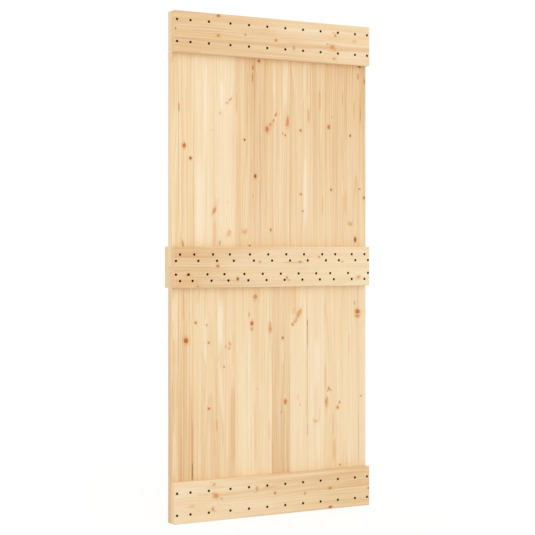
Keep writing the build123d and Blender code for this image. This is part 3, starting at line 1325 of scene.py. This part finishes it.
@dataclass
class Studio:
    """The plain pale floor, the white world, the lamp and the camera.

    Lengths are in metres, but lens and sensor are in millimetres. The floor reflects floor_grey for
    light. To the eye it reflects only shadow_grey and glows by floor_glow besides, so that the
    shadow stays and the rest is white. heading is in degrees, to the right of straight ahead.
    """

    floor_half: float = 30.0
    floor_drop: float = 0.5 * MM
    floor_grey: float = 0.85
    shadow_grey: float = 0.25
    floor_glow: float = 0.77
    world_light: float = 0.93
    lamp_power: float = 80.0
    lamp_size: float = 5.0
    lamp_place: Triple = (-2.6, -6.2, 3.6)
    lamp_aim: Triple = (0.0, 0.0, 1.05)
    eye: Triple = (-3.051, -5.388, 1.126)
    heading: float = 29.41
    lens: float = 97.7
    sensor: float = 36.0
    shift: float = -0.035
    farthest: float = 200.0

    def build(self) -> None:
        """Builds all of it."""
        self.build_floor()
        self.build_world()
        self.build_lamp()
        self.build_camera()

    def build_floor(self) -> None:
        """A wide flat square whose colour is white to the camera, less what the leaf shades."""
        span = np.array([-self.floor_half, self.floor_half])
        x, y = np.meshgrid(span, span, indexing="ij")
        points = np.stack([x.ravel(), y.ravel(), np.full(4, -self.floor_drop)], axis=1)
        floor = mesh_object("studio_floor", points, [np.array([[0, 2, 3, 1]])], sharp_degrees=30.0)
        made = bpy.data.materials.new("studio_white")
        sheet = sheet_of(made)
        to_light, to_eye = (
            sheet.fed(sheet.node("ShaderNodeBsdfDiffuse"), {"Color": (grey, grey, grey)})
            for grey in (self.floor_grey, self.shadow_grey))
        glow = sheet.fed(sheet.node("ShaderNodeEmission"), {"Strength": self.floor_glow})
        both = sheet.fed(sheet.node("ShaderNodeAddShader"),
                         {0: to_eye.outputs[0], 1: glow.outputs[0]})
        sheet.show(sheet.fed(sheet.node("ShaderNodeMixShader"), {
            0: sheet.seen(), 1: to_light.outputs[0], 2: both.outputs[0]}))
        paint(floor, made)

    def build_world(self) -> None:
        """A world that is white to the camera and in gloss, and lights the leaf a little less."""
        world = bpy.data.worlds.new("studio_world")
        sheet = sheet_of(world)
        light = sheet.scaled(sheet.seen(), 1.0 - self.world_light, self.world_light)
        sky = sheet.fed(sheet.node("ShaderNodeBackground"),
                        {"Color": (1.0, 1.0, 1.0), "Strength": light})
        sheet.show(sky, "ShaderNodeOutputWorld")
        bpy.context.scene.world = world

    def build_lamp(self) -> None:
        """One large soft lamp, in front of the leaf, to its left and above."""
        lamp = bpy.data.lights.new("studio_lamp", "AREA")
        lamp.shape = "SQUARE"
        lamp.size = self.lamp_size
        lamp.energy = self.lamp_power
        ahead = np.array(self.lamp_aim) - np.array(self.lamp_place)
        tilt = math.pi / 2 + math.atan2(ahead[2], math.hypot(ahead[0], ahead[1]))
        self.stand(lamp, self.lamp_place, (tilt, 0.0, math.atan2(-ahead[0], ahead[1])))

    def build_camera(self) -> None:
        """A level camera at the photograph's angle."""
        camera = bpy.data.cameras.new("camera")
        camera.lens = self.lens
        camera.sensor_width = self.sensor
        camera.shift_y = self.shift
        camera.clip_end = self.farthest
        turn = (math.pi / 2, 0.0, -math.radians(self.heading))
        bpy.context.scene.camera = self.stand(camera, self.eye, turn)
        bpy.context.scene.view_settings.view_transform = "Standard"

    @staticmethod
    def stand(tool: bpy.types.Light | bpy.types.Camera, place: Triple,
              turn: Triple) -> bpy.types.Object:
        """Stands a lamp or a camera in the scene.

        Args:
            tool: The lamp or camera.
            place: Where it stands, in metres.
            turn: How it is turned about the three axes, in radians.

        Returns:
            The object that holds it.
        """
        holder = bpy.data.objects.new(tool.name, tool)
        holder.location = place
        holder.rotation_euler = turn
        bpy.context.scene.collection.objects.link(holder)
        return holder


# Short names for the lists below.
K = KnotKind
S = Shade
T = Tone

# What the photograph shows on each piece, in the order of painting: where marks overlap, the later
# one lies on top.
UPPER_MARKS: list[Mark] = [
    Stain(17, 540, 30, 300, S.CREAM, 0.35), Stain(33, 540, 5, 720, S.GREY, 0.45),
    Stain(35, 392, 9, 44, S.RED, 0.9), Stain(41, 650, 7, 560, S.WHITE, 0.5),
    Stain(9, 300, 7, 220, S.SAND, 0.35, 4), Stain(16, 570, 6, 250, S.ORANGE, 0.32, -4),
    Stain(53, 560, 4, 780, S.RED, 0.3), Stain(68, 600, 3, 700, S.RED, 0.28),
    Stain(79, 420, 3, 500, S.RED, 0.18), Stain(100, 770, 4, 380, S.GREY, 0.3),
    Stain(130, 800, 46, 420, S.WHITE, 0.5), Stain(158, 370, 14, 420, S.WHITE, 0.55),
    Stain(187, 520, 34, 720, S.YELLOW, 0.18), Stain(200, 910, 20, 150, S.SAND, 0.75),
    Stain(205, 790, 5, 60, S.SAND, 0.6), Stain(208, 260, 4, 220, S.GREY, 0.3),
    Stain(232, 332, 18, 120, S.WHITE, 0.8), Stain(255, 560, 60, 900, S.WHITE, 0.22),
    Stain(289, 480, 12, 800, S.ROSE, 0.4), Stain(303, 360, 7, 110, S.ORANGE, 0.7),
    Stain(306, 640, 12, 420, S.SAND, 0.6), Stain(301, 250, 8, 160, S.GREY, 0.3),
    Stain(357, 400, 6, 170, S.ORANGE, 0.5), Stain(345, 620, 8, 200, S.ORANGE, 0.22, -6),
    Stain(400, 265, 5, 90, S.GREY, 0.5), Stain(384, 570, 4, 170, S.GREY, 0.5),
    Stain(413, 500, 3, 620, S.RED, 0.2), Stain(428, 560, 3, 600, S.RED, 0.16),
    Stain(446, 640, 4, 500, S.RED, 0.16), Stain(461, 350, 3, 300, S.RED, 0.16),
    Stain(511, 250, 20, 170, S.YELLOW, 0.6), Stain(541, 260, 22, 220, S.WHITE, 0.45),
    Stain(485, 250, 10, 200, S.WHITE, 0.4), Stain(561, 560, 4, 600, S.GREY, 0.4),
    Stain(640, 720, 16, 330, S.WHITE, 0.6), Stain(632, 260, 10, 160, S.CREAM, 0.5),
    Stain(650, 240, 4, 120, S.GREY, 0.5), Stain(656, 400, 12, 68, S.ORANGE, 0.75),
    Stain(712, 338, 13, 76, S.ORANGE, 0.6), Stain(712, 300, 7, 34, S.RED, 0.4),
    Stain(667, 300, 3, 260, S.RED, 0.2), Stain(696, 740, 16, 130, S.ROSE, 0.3),
    Stain(727, 790, 8, 90, S.ORANGE, 0.45), Stain(718, 600, 5, 300, S.ORANGE, 0.22),
    Stain(740, 280, 8, 200, S.SAND, 0.4), Stain(829, 316, 7, 78, S.ORANGE, 0.8),
    Stain(830, 710, 5, 90, S.WHITE, 0.6), Stain(844, 770, 16, 110, S.ORANGE, 0.35),
    Stain(889, 370, 8, 90, S.ORANGE, 0.65), Stain(826, 530, 6, 120, S.ORANGE, 0.5),
    Stain(782, 500, 4, 500, S.RED, 0.18), Stain(800, 600, 3, 500, S.RED, 0.14),
    Stain(922, 350, 7, 170, S.ORANGE, 0.8), Stain(923, 385, 5, 66, S.DARK, 0.3),
    Stain(909, 217, 9, 32, S.RED, 0.75), Stain(860, 640, 26, 300, S.CREAM, 0.2, 3),
    Stain(6, 192, 12, 44, S.ORANGE, 0.4), Stain(203, 800, 26, 80, S.ROSE, 0.45, -22),
    Stain(474, 455, 22, 60, S.ORANGE, 0.25, -30), Stain(455, 470, 34, 50, S.ORANGE, 0.28),
    Stain(552, 424, 20, 56, S.ORANGE, 0.4), Knot(59, 549, 16, 20, K.RED),
    Knot(88, 600, 11, 13, K.DARK), Knot(187, 480, 12, 14, K.GREEN, 0, 0.35),
    Knot(198, 816, 12, 30, K.ORANGE, -26), Knot(274, 349, 9, 26, K.FAINT, -42, 1.1),
    Knot(258, 363, 11, 12, K.GREY, -40, 0.6), Knot(226, 408, 8, 14, K.GREY, 0, 0.6),
    Knot(267, 910, 20, 30, K.FAINT, -20, 0.8), Knot(224, 950, 9, 20, K.GREY, 0, 0.7),
    Knot(260, 781, 8, 9, K.FAINT, 0, 0.25), Knot(382, 209, 7, 22, K.BROWN),
    Knot(380, 250, 6, 42, K.ORANGE, 0, 1.2), Knot(411, 179, 12, 14, K.RED),
    Knot(450, 466, 18, 26, K.RED, 0, 0.7), Knot(467, 445, 10, 18, K.ORANGE, -30, 0.9),
    Knot(342, 515, 9, 10, K.DARK), Knot(393, 667, 13, 19, K.DARK),
    Knot(340, 903, 24, 15, K.ORANGE, 0, 0.48), Knot(330, 893, 7, 18, K.FAINT, 26, 0.5),
    Knot(351, 893, 7, 18, K.FAINT, -24, 0.5), Knot(469, 894, 8, 13, K.BROWN),
    Knot(366, 961, 10, 8, K.BROWN), Knot(53, 954, 7, 28, K.ORANGE, 12, 1.1),
    Knot(414, 692, 7, 10, K.GREY, 0, 0.6), Knot(383, 751, 10, 12, K.GREY, 0, 0.35),
    Knot(494, 403, 10, 16, K.ORANGE, -20), Knot(483, 427, 8, 11, K.BROWN, 0, 0.8),
    Knot(552, 431, 11, 40, K.RED, 0, 0.62), Knot(545, 444, 10, 16, K.ORANGE, 0, 0.6),
    Knot(528, 481, 8, 11, K.GREY), Knot(540, 489, 8, 9, K.BROWN),
    Knot(616, 465, 11, 11, K.BROWN, 0, 0.9), Knot(617, 739, 11, 10, K.BROWN, 0, 0.85),
    Knot(627, 812, 10, 11, K.GREY), Knot(758, 444, 14, 19, K.RED, 0, 0.85),
    Knot(778, 401, 8, 10, K.GREY, 0, 0.5), Knot(771, 717, 10, 11, K.BROWN),
    Knot(869, 478, 9, 11, K.DARK), Knot(870, 865, 24, 15, K.ORANGE, 0, 0.55),
    Knot(860, 856, 7, 16, K.FAINT, 30, 0.5), Knot(882, 854, 7, 16, K.FAINT, -24, 0.5),
    Knot(895, 934, 12, 25, K.DARK), Knot(916, 711, 12, 8, K.BROWN, 0, 0.7),
    Knot(942, 749, 11, 13, K.BROWN), Knot(917, 173, 18, 8, K.DARK),
    Knot(943, 235, 6, 28, K.RED, 0, 0.9),
]
LOWER_MARKS: list[Mark] = [
    Stain(33, 1320, 6, 380, S.GREY, 0.5), Stain(54, 1200, 7, 150, S.ORANGE, 0.8),
    Stain(58, 1500, 6, 780, S.ORANGE, 0.4), Stain(49, 1560, 3, 700, S.GREY, 0.35),
    Stain(68, 1540, 4, 760, S.RED, 0.55), Stain(60, 1530, 3, 760, S.RED, 0.4),
    Stain(46, 1830, 5, 240, S.RED, 0.5), Stain(88, 1700, 14, 460, S.ORANGE, 0.35),
    Stain(97, 1790, 6, 230, S.RED, 0.6), Stain(97, 1895, 6, 84, S.DARK, 0.8),
    Stain(12, 1400, 12, 110, S.ORANGE, 0.4), Stain(8, 1590, 5, 160, S.ORANGE, 0.6, 3),
    Stain(24, 1560, 4, 180, S.ORANGE, 0.4, -3), Stain(18, 1500, 22, 320, S.SAND, 0.35),
    Stain(18, 1730, 16, 60, S.SAND, 0.6), Stain(14, 1810, 16, 220, S.WHITE, 0.4),
    Stain(9, 1230, 14, 120, S.WHITE, 0.4), Stain(125, 1170, 12, 80, S.SAND, 0.5, -10),
    Stain(152, 1180, 18, 14, S.ROSE, 0.7, 60), Stain(155, 1360, 14, 220, S.WHITE, 0.5),
    Stain(185, 1400, 36, 560, S.YELLOW, 0.3), Stain(190, 1790, 34, 300, S.SAND, 0.5),
    Stain(118, 1590, 7, 100, S.YELLOW, 0.6), Stain(149, 1440, 4, 90, S.GREY, 0.45, 16),
    Stain(149, 1570, 4, 90, S.GREY, 0.4, 12), Stain(158, 1740, 5, 160, S.YELLOW, 0.5, -8),
    Stain(140, 1690, 4, 220, S.GREY, 0.25, -4), Stain(228, 1280, 30, 240, S.WHITE, 0.7),
    Stain(226, 1420, 12, 60, S.ROSE, 0.6, -30), Stain(209, 1560, 4, 260, S.SAND, 0.6),
    Stain(211, 1712, 6, 60, S.RED, 0.6), Stain(232, 1580, 16, 260, S.WHITE, 0.5, 4),
    Stain(237, 1720, 5, 240, S.GREY, 0.25, 5), Stain(276, 1220, 6, 160, S.ROSE, 0.4),
    Stain(288, 1400, 16, 200, S.SAND, 0.4), Stain(285, 1720, 22, 420, S.RED, 0.36),
    Stain(293, 1700, 5, 460, S.RED, 0.3), Stain(330, 1640, 40, 560, S.CREAM, 0.5),
    Stain(362, 1560, 10, 560, S.WHITE, 0.5), Stain(369, 1200, 12, 140, S.ROSE, 0.3),
    Stain(376, 1400, 12, 160, S.GREY, 0.08), Stain(393, 1760, 14, 320, S.ORANGE, 0.26),
    Stain(424, 1600, 30, 130, S.CREAM, 0.3), Stain(448, 1240, 3, 160, S.GREY, 0.5),
    Stain(463, 1215, 7, 130, S.GREY, 0.25), Stain(474, 1480, 6, 200, S.GREY, 0.2),
    Stain(460, 1745, 14, 80, S.ROSE, 0.75), Stain(478, 1860, 10, 180, S.RED, 0.25),
    Stain(500, 1420, 14, 260, S.SAND, 0.5), Stain(526, 1420, 14, 100, S.CREAM, 0.5),
    Stain(520, 1770, 8, 360, S.GREY, 0.3), Stain(560, 1560, 4, 260, S.GREY, 0.4),
    Stain(577, 1180, 30, 140, S.ORANGE, 0.3), Stain(590, 1180, 6, 140, S.ORANGE, 0.4),
    Stain(583, 1240, 26, 40, S.RED, 0.3), Stain(637, 1300, 14, 300, S.WHITE, 0.5),
    Stain(610, 1500, 60, 640, S.CREAM, 0.3), Stain(650, 1520, 5, 620, S.GREY, 0.5),
    Stain(652, 1345, 7, 110, S.RED, 0.5), Stain(651, 1294, 5, 30, S.DARK, 0.6),
    Stain(651, 1755, 4, 60, S.DARK, 0.4), Stain(700, 1480, 34, 240, S.WHITE, 0.5),
    Stain(705, 1800, 20, 180, S.WHITE, 0.4), Stain(712, 1690, 8, 60, S.ROSE, 0.7),
    Stain(739, 1260, 6, 120, S.SAND, 0.6), Stain(742, 1530, 12, 120, S.ORANGE, 0.4),
    Stain(818, 1300, 4, 130, S.GREY, 0.2), Stain(786, 1850, 18, 110, S.ORANGE, 0.55),
    Stain(782, 1740, 12, 110, S.ORANGE, 0.35), Stain(814, 1860, 12, 100, S.ROSE, 0.3),
    Stain(864, 1390, 10, 90, S.ORANGE, 0.3), Stain(845, 1600, 30, 600, S.CREAM, 0.3),
    Stain(889, 1210, 8, 80, S.GREY, 0.15), Stain(910, 1180, 5, 100, S.GREY, 0.4),
    Stain(912, 1800, 6, 260, S.GREY, 0.4), Knot(67, 1352, 21, 24, K.RED, 0, 1.1),
    Knot(112, 1280, 11, 13, K.BROWN, 20, 0.85), Knot(163, 1291, 10, 10, K.GREY),
    Knot(173, 1364, 11, 11, K.BROWN, 0, 0.65), Knot(174, 1638, 11, 11, K.BROWN, 0, 0.9),
    Knot(272, 1372, 12, 24, K.FAINT, 20), Knot(253, 1383, 9, 15, K.FAINT, 0, 0.9),
    Knot(269, 1391, 12, 12, K.FAINT), Knot(245, 1468, 10, 10, K.GREY),
    Knot(377, 1289, 15, 20, K.RED), Knot(377, 1312, 14, 16, K.GREY, 0, 0.8),
    Knot(394, 1177, 18, 20, K.ORANGE, -20, 0.9), Knot(389, 1192, 9, 12, K.GREY, 0, 0.3),
    Knot(364, 1252, 6, 22, K.GREY), Knot(468, 1314, 9, 18, K.BROWN, 0, 0.6),
    Knot(465, 1308, 15, 56, K.ORANGE, 0, 0.5), Knot(400, 1567, 10, 12, K.FAINT, 0, 0.4),
    Knot(528, 1355, 10, 12, K.BROWN), Knot(540, 1628, 13, 17, K.BROWN),
    Knot(541, 1628, 20, 32, K.ORANGE, 0, 0.55), Knot(521, 1671, 7, 14, K.GREY, 0, 0.8),
    Knot(608, 1252, 18, 44, K.ORANGE, -30, 0.72), Knot(590, 1283, 13, 30, K.ORANGE, -32, 0.5),
    Knot(576, 1299, 14, 11, K.BROWN, -30, 0.62), Knot(615, 1244, 8, 18, K.FAINT, -30),
    Knot(693, 1720, 20, 14, K.ORANGE, 0, 0.38), Knot(683, 1712, 7, 14, K.FAINT, 30, 0.4),
    Knot(746, 1637, 13, 24, K.BROWN, 0, 0.65), Knot(750, 1626, 9, 22, K.ORANGE, 0, 0.4),
    Knot(747, 1652, 12, 20, K.ORANGE, 0, 0.4), Knot(758, 1582, 8, 16, K.BROWN, 0, 0.8),
    Knot(768, 1588, 8, 9, K.GREY), Knot(753, 1590, 7, 12, K.ORANGE, -30, 0.5),
    Knot(804, 1666, 14, 16, K.ORANGE, 0, 0.9), Knot(814, 1645, 9, 14, K.BROWN, 0, 0.65),
    Knot(907, 1250, 25, 21, K.RED, 0, 0.9), Knot(907, 1270, 22, 14, K.ORANGE),
    Knot(893, 1213, 6, 22, K.GREY, 0, 0.9), Knot(925, 1622, 10, 12, K.GREY, 0, 0.7),
    Knot(816, 1918, 10, 10, K.BROWN, 0, 0.55), Knot(602, 1612, 10, 26, K.FAINT, 0, 0.35),
    Knot(614, 1644, 6, 14, K.FAINT, 0, 0.7),
]
RAIL_MARKS: list[Mark] = [
    Stain(40, 72, 90, 16, S.ROSE, 0.35), Stain(70, 112, 140, 12, S.ORANGE, 0.35),
    Stain(100, 150, 200, 10, S.RED, 0.22), Stain(150, 100, 240, 6, S.ORANGE, 0.3),
    Stain(270, 52, 160, 8, S.YELLOW, 0.45), Stain(160, 60, 200, 5, S.GREY, 0.35),
    Stain(60, 165, 120, 8, S.ORANGE, 0.5), Stain(240, 118, 260, 4, S.GREY, 0.3),
    Stain(360, 140, 220, 4, S.SAND, 0.4), Stain(500, 118, 70, 8, S.RED, 0.35),
    Stain(450, 90, 200, 6, S.SAND, 0.3), Stain(700, 104, 110, 9, S.ORANGE, 0.35),
    Stain(850, 66, 120, 16, S.YELLOW, 0.5), Stain(872, 68, 30, 14, S.ORANGE, 0.5),
    Stain(820, 112, 70, 10, S.ORANGE, 0.3), Stain(600, 50, 300, 50, S.WHITE, 0.25),
    Stain(860, 140, 160, 40, S.WHITE, 0.3), Stain(870, 148, 150, 4, S.SAND, 0.5),
    Knot(202, 8, 17, 12, K.RED), Knot(202, 90, 17, 11, K.BROWN, 0, 0.72),
    Knot(330, 78, 11, 12, K.BROWN, 0, 0.5), Knot(477, 91, 12, 13, K.BROWN, 0, 0.75),
    Knot(565, 117, 14, 22, K.GREY, 0, 0.8), Knot(774, 49, 11, 13, K.BROWN, -30, 0.6),
    Knot(763, 39, 12, 10, K.FAINT, 0, 0.6), Knot(733, 90, 11, 11, K.BROWN, -20, 0.34),
    Knot(759, 102, 24, 20, K.ORANGE, 0, 0.85), Knot(770, 111, 18, 12, K.ORANGE, 0, 0.35),
    Knot(768, 150, 16, 13, K.FAINT, 0, 1.1), Knot(781, 161, 12, 10, K.FAINT, 0, 0.3),
    Knot(5, 75, 8, 10, K.BROWN, 0, 0.8),
]
MIDDLE_RAIL_MARKS: list[Mark] = [
    Stain(390, 1050, 420, 130, S.CREAM, 0.35), Stain(60, 990, 130, 20, S.ORANGE, 0.3),
    Stain(100, 1010, 220, 6, S.RED, 0.25), Stain(130, 1068, 240, 10, S.ROSE, 0.4),
    Stain(60, 1110, 150, 22, S.ORANGE, 0.55), Stain(120, 1092, 120, 3, S.GREY, 0.5),
    Stain(240, 1105, 100, 5, S.RED, 0.35), Stain(200, 1130, 300, 10, S.SAND, 0.5),
    Stain(260, 1050, 300, 5, S.RED, 0.2), Stain(560, 1032, 110, 6, S.RED, 0.4),
    Stain(720, 1055, 260, 26, S.WHITE, 0.2), Stain(700, 990, 300, 30, S.ROSE, 0.2),
    Stain(640, 1008, 130, 4, S.SAND, 0.5), Stain(850, 1100, 140, 30, S.YELLOW, 0.25),
    Stain(380, 1075, 240, 5, S.SAND, 0.3), Stain(450, 990, 120, 20, S.CREAM, 0.3),
    Knot(199, 1045, 16, 14, K.RED, 0, 0.72), Knot(399, 1028, 14, 9, K.GREY, 0, 0.9),
    Knot(595, 1030, 20, 11, K.GREY), Knot(691, 1009, 11, 9, K.ORANGE),
    Knot(810, 1030, 12, 8, K.GREY, 0, 0.7), Knot(293, 1100, 12, 15, K.DARK),
    Knot(531, 1097, 10, 13, K.ORANGE), Knot(541, 1107, 14, 10, K.FAINT),
    Knot(894, 1097, 20, 16, K.ORANGE, 0, 0.55), Knot(107, 1129, 18, 10, K.ORANGE, 0, 0.65),
    Knot(63, 1081, 18, 12, K.BROWN),
]
BACK_RAIL_MARKS: list[Mark] = [
    Knot(182, 1038, 22, 16, K.RED), Knot(421, 1083, 11, 9, K.BROWN),
    Knot(640, 1020, 14, 11, K.BROWN), Knot(838, 1072, 30, 10, K.BROWN),
    Stain(500, 1050, 500, 14, S.SAND, 0.3),
]


def turned(marks: list[Mark]) -> list[Mark]:
    """The same marks on a rail that lies the other way round, at the other end of the leaf."""
    width, height = LEAF_WIDTH / MM, LEAF_HEIGHT / MM
    return [replace(mark, across=width - mark.across, down=height - mark.down)
            for mark in marks]


# The pine of each board, from the left.
UPPER_WOOD = [
    PineFinish(T.HONEY, T.HONEY, (0.03, 0.05), 0.012, lines=0.5, seed=1),
    PineFinish(T.HONEY, T.HONEY, (0.09, 0.03), 0.004, 0.0125, 0.006, lines=0.85, bands=0.3, seed=2),
    PineFinish(T.STRAW, T.STRAW, (-0.05, 0.06), 0.006, 0.007, lines=0.35, bands=0.45, seed=3),
    PineFinish(T.STRAW, T.STRAW, (0.05, 0.07), 0.008, 0.006, lines=0.45, bands=0.35, seed=4),
    PineFinish(T.BLUSH, T.TAN, (0.03, 0.045), 0.012, 0.006, 0.016, lines=0.6, seed=5),
    PineFinish(T.BLUSH, T.AMBER, (-0.09, 0.03), 0.006, 0.0075, 0.006, lines=0.8, bands=0.7, seed=6),
    PineFinish(T.BLUSH, T.BLUSH, (0.06, 0.05), 0.008, 0.006, lines=0.42, bands=0.5, seed=7),
    PineFinish(T.BLUSH, T.TAN, (-0.04, 0.06), 0.01, 0.0065, lines=0.45, bands=0.4, seed=8),
    PineFinish(T.HONEY, T.TAN, (-0.07, 0.04), 0.008, 0.0065, 0.008, lines=0.55, seed=9),
    PineFinish(T.BLUSH, T.AMBER, (-0.05, 0.05), 0.012, 0.006, lines=0.5, seed=10),
    PineFinish(T.BLUSH, T.AMBER, (0.035, 0.045), 0.014, 0.0055, 0.02, lines=0.65, seed=11),
    PineFinish(T.HONEY, T.SMOKED, (-0.06, 0.03), 0.005, 0.006, lines=0.65, seed=12),
]
LOWER_WOOD = [
    PineFinish(T.TAN, T.HONEY, (0.04, 0.05), 0.012, lines=0.65, bands=0.7, seed=13),
    PineFinish(T.AMBER, T.HONEY, (0.1, 0.02), 0.003, 0.012, 0.006, lines=1.0, bands=0.4, seed=14),
    PineFinish(T.BLUSH, T.HONEY, (0.02, 0.05), 0.02, 0.0065, lines=0.55, seed=15),
    PineFinish(T.BLUSH, T.HONEY, (-0.08, 0.04), 0.008, 0.007, lines=0.45, bands=0.55, seed=16),
    PineFinish(T.STRAW, T.HONEY, (0.05, 0.07), 0.01, 0.006, lines=0.35, bands=0.25, seed=17),
    PineFinish(T.STRAW, T.HONEY, (0.04, 0.05), 0.012, 0.006, 0.014, lines=0.5, seed=18),
    PineFinish(T.SMOKED, T.BLUSH, (-0.06, 0.04), 0.01, 0.006, lines=0.6, seed=19),
    PineFinish(T.STRAW, T.HONEY, (0.04, 0.06), 0.01, 0.006, lines=0.45, bands=0.3, seed=20),
    PineFinish(T.STRAW, T.CREAM, (0.07, 0.05), 0.008, 0.007, lines=0.5, bands=0.45, seed=21),
    PineFinish(T.HONEY, T.HONEY, (-0.05, 0.05), 0.012, 0.0055, lines=0.5, seed=22),
    PineFinish(T.STRAW, T.HONEY, (-0.03, 0.07), 0.01, 0.006, lines=0.45, bands=0.3, seed=23),
    PineFinish(T.CREAM, T.CREAM, (0.05, 0.05), 0.008, 0.006, lines=0.55, seed=24),
]
TOP_RAIL_WOOD = PineFinish(T.SMOKED, T.BLUSH, (0.04, 0.06), 0.01, 0.006, 0.024, lines=0.52,
                           bands=0.6, seed=31)
MIDDLE_RAIL_WOOD = PineFinish(T.SMOKED, T.STRAW, (-0.05, 0.06), 0.01, 0.006, 0.022, lines=0.55,
                              bands=0.5, seed=32)
BOTTOM_RAIL_WOOD = PineFinish(T.STRAW, T.TAN, (0.05, 0.06), 0.01, 0.006, 0.024, lines=0.52,
                              bands=0.55, seed=33)
BACK_RAIL_WOOD = PineFinish(T.HONEY, T.BLUSH, (0.02, -0.05), 0.02, 0.006, 0.016, lines=0.5,
                            bands=0.5, seed=34)


def main() -> None:
    """Builds and dresses the leaf piece by piece, then sets it in its studio."""
    logging.basicConfig(level=logging.INFO, format="%(message)s")
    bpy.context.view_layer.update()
    rows = ScrewRows()
    top, middle, bottom = rows.top(), rows.middle(), rows.bottom()
    groups = PineGroups()
    for boards in (
            BoardField("upper_board", MID_HEIGHT, LEAF_HEIGHT, UPPER_WOOD, UPPER_MARKS, rows.sides),
            BoardField("lower_board", 0.0, MID_HEIGHT, LOWER_WOOD, LOWER_MARKS, rows.sides)):
        boards.dress(groups)
    for rail, finish, marks in (
            (FrontRail("top_rail", LEAF_HEIGHT - RAIL_HEIGHT, top), TOP_RAIL_WOOD, RAIL_MARKS),
            (FrontRail("middle_rail_front", MID_HEIGHT - RAIL_HEIGHT / 2, middle),
             MIDDLE_RAIL_WOOD, MIDDLE_RAIL_MARKS),
            (FrontRail("bottom_rail", 0.0, bottom), BOTTOM_RAIL_WOOD, turned(RAIL_MARKS))):
        rail.build()
        rail.dress(finish, groups, marks)
        logging.info("built %s with %d screw holes", rail.name, len(rail.spots))
    back = BackRail()
    back.dress(BACK_RAIL_WOOD, groups, BACK_RAIL_MARKS)
    logging.info("dressed %s", back.name)
    steel = BlackSteelFinish().material("black_steel")
    for screws in (ScrewSet("top_rail_screws", top, RAIL_THICKNESS),
                   ScrewSet("middle_rail_screws", middle, 2 * RAIL_THICKNESS),
                   ScrewSet("bottom_rail_screws", bottom, RAIL_THICKNESS)):
        screws.build()
        screws.dress(steel)
        logging.info("built %s, %d of them", screws.name, len(screws.spots))
    Studio().build()


if __name__ == "__main__":
    main()
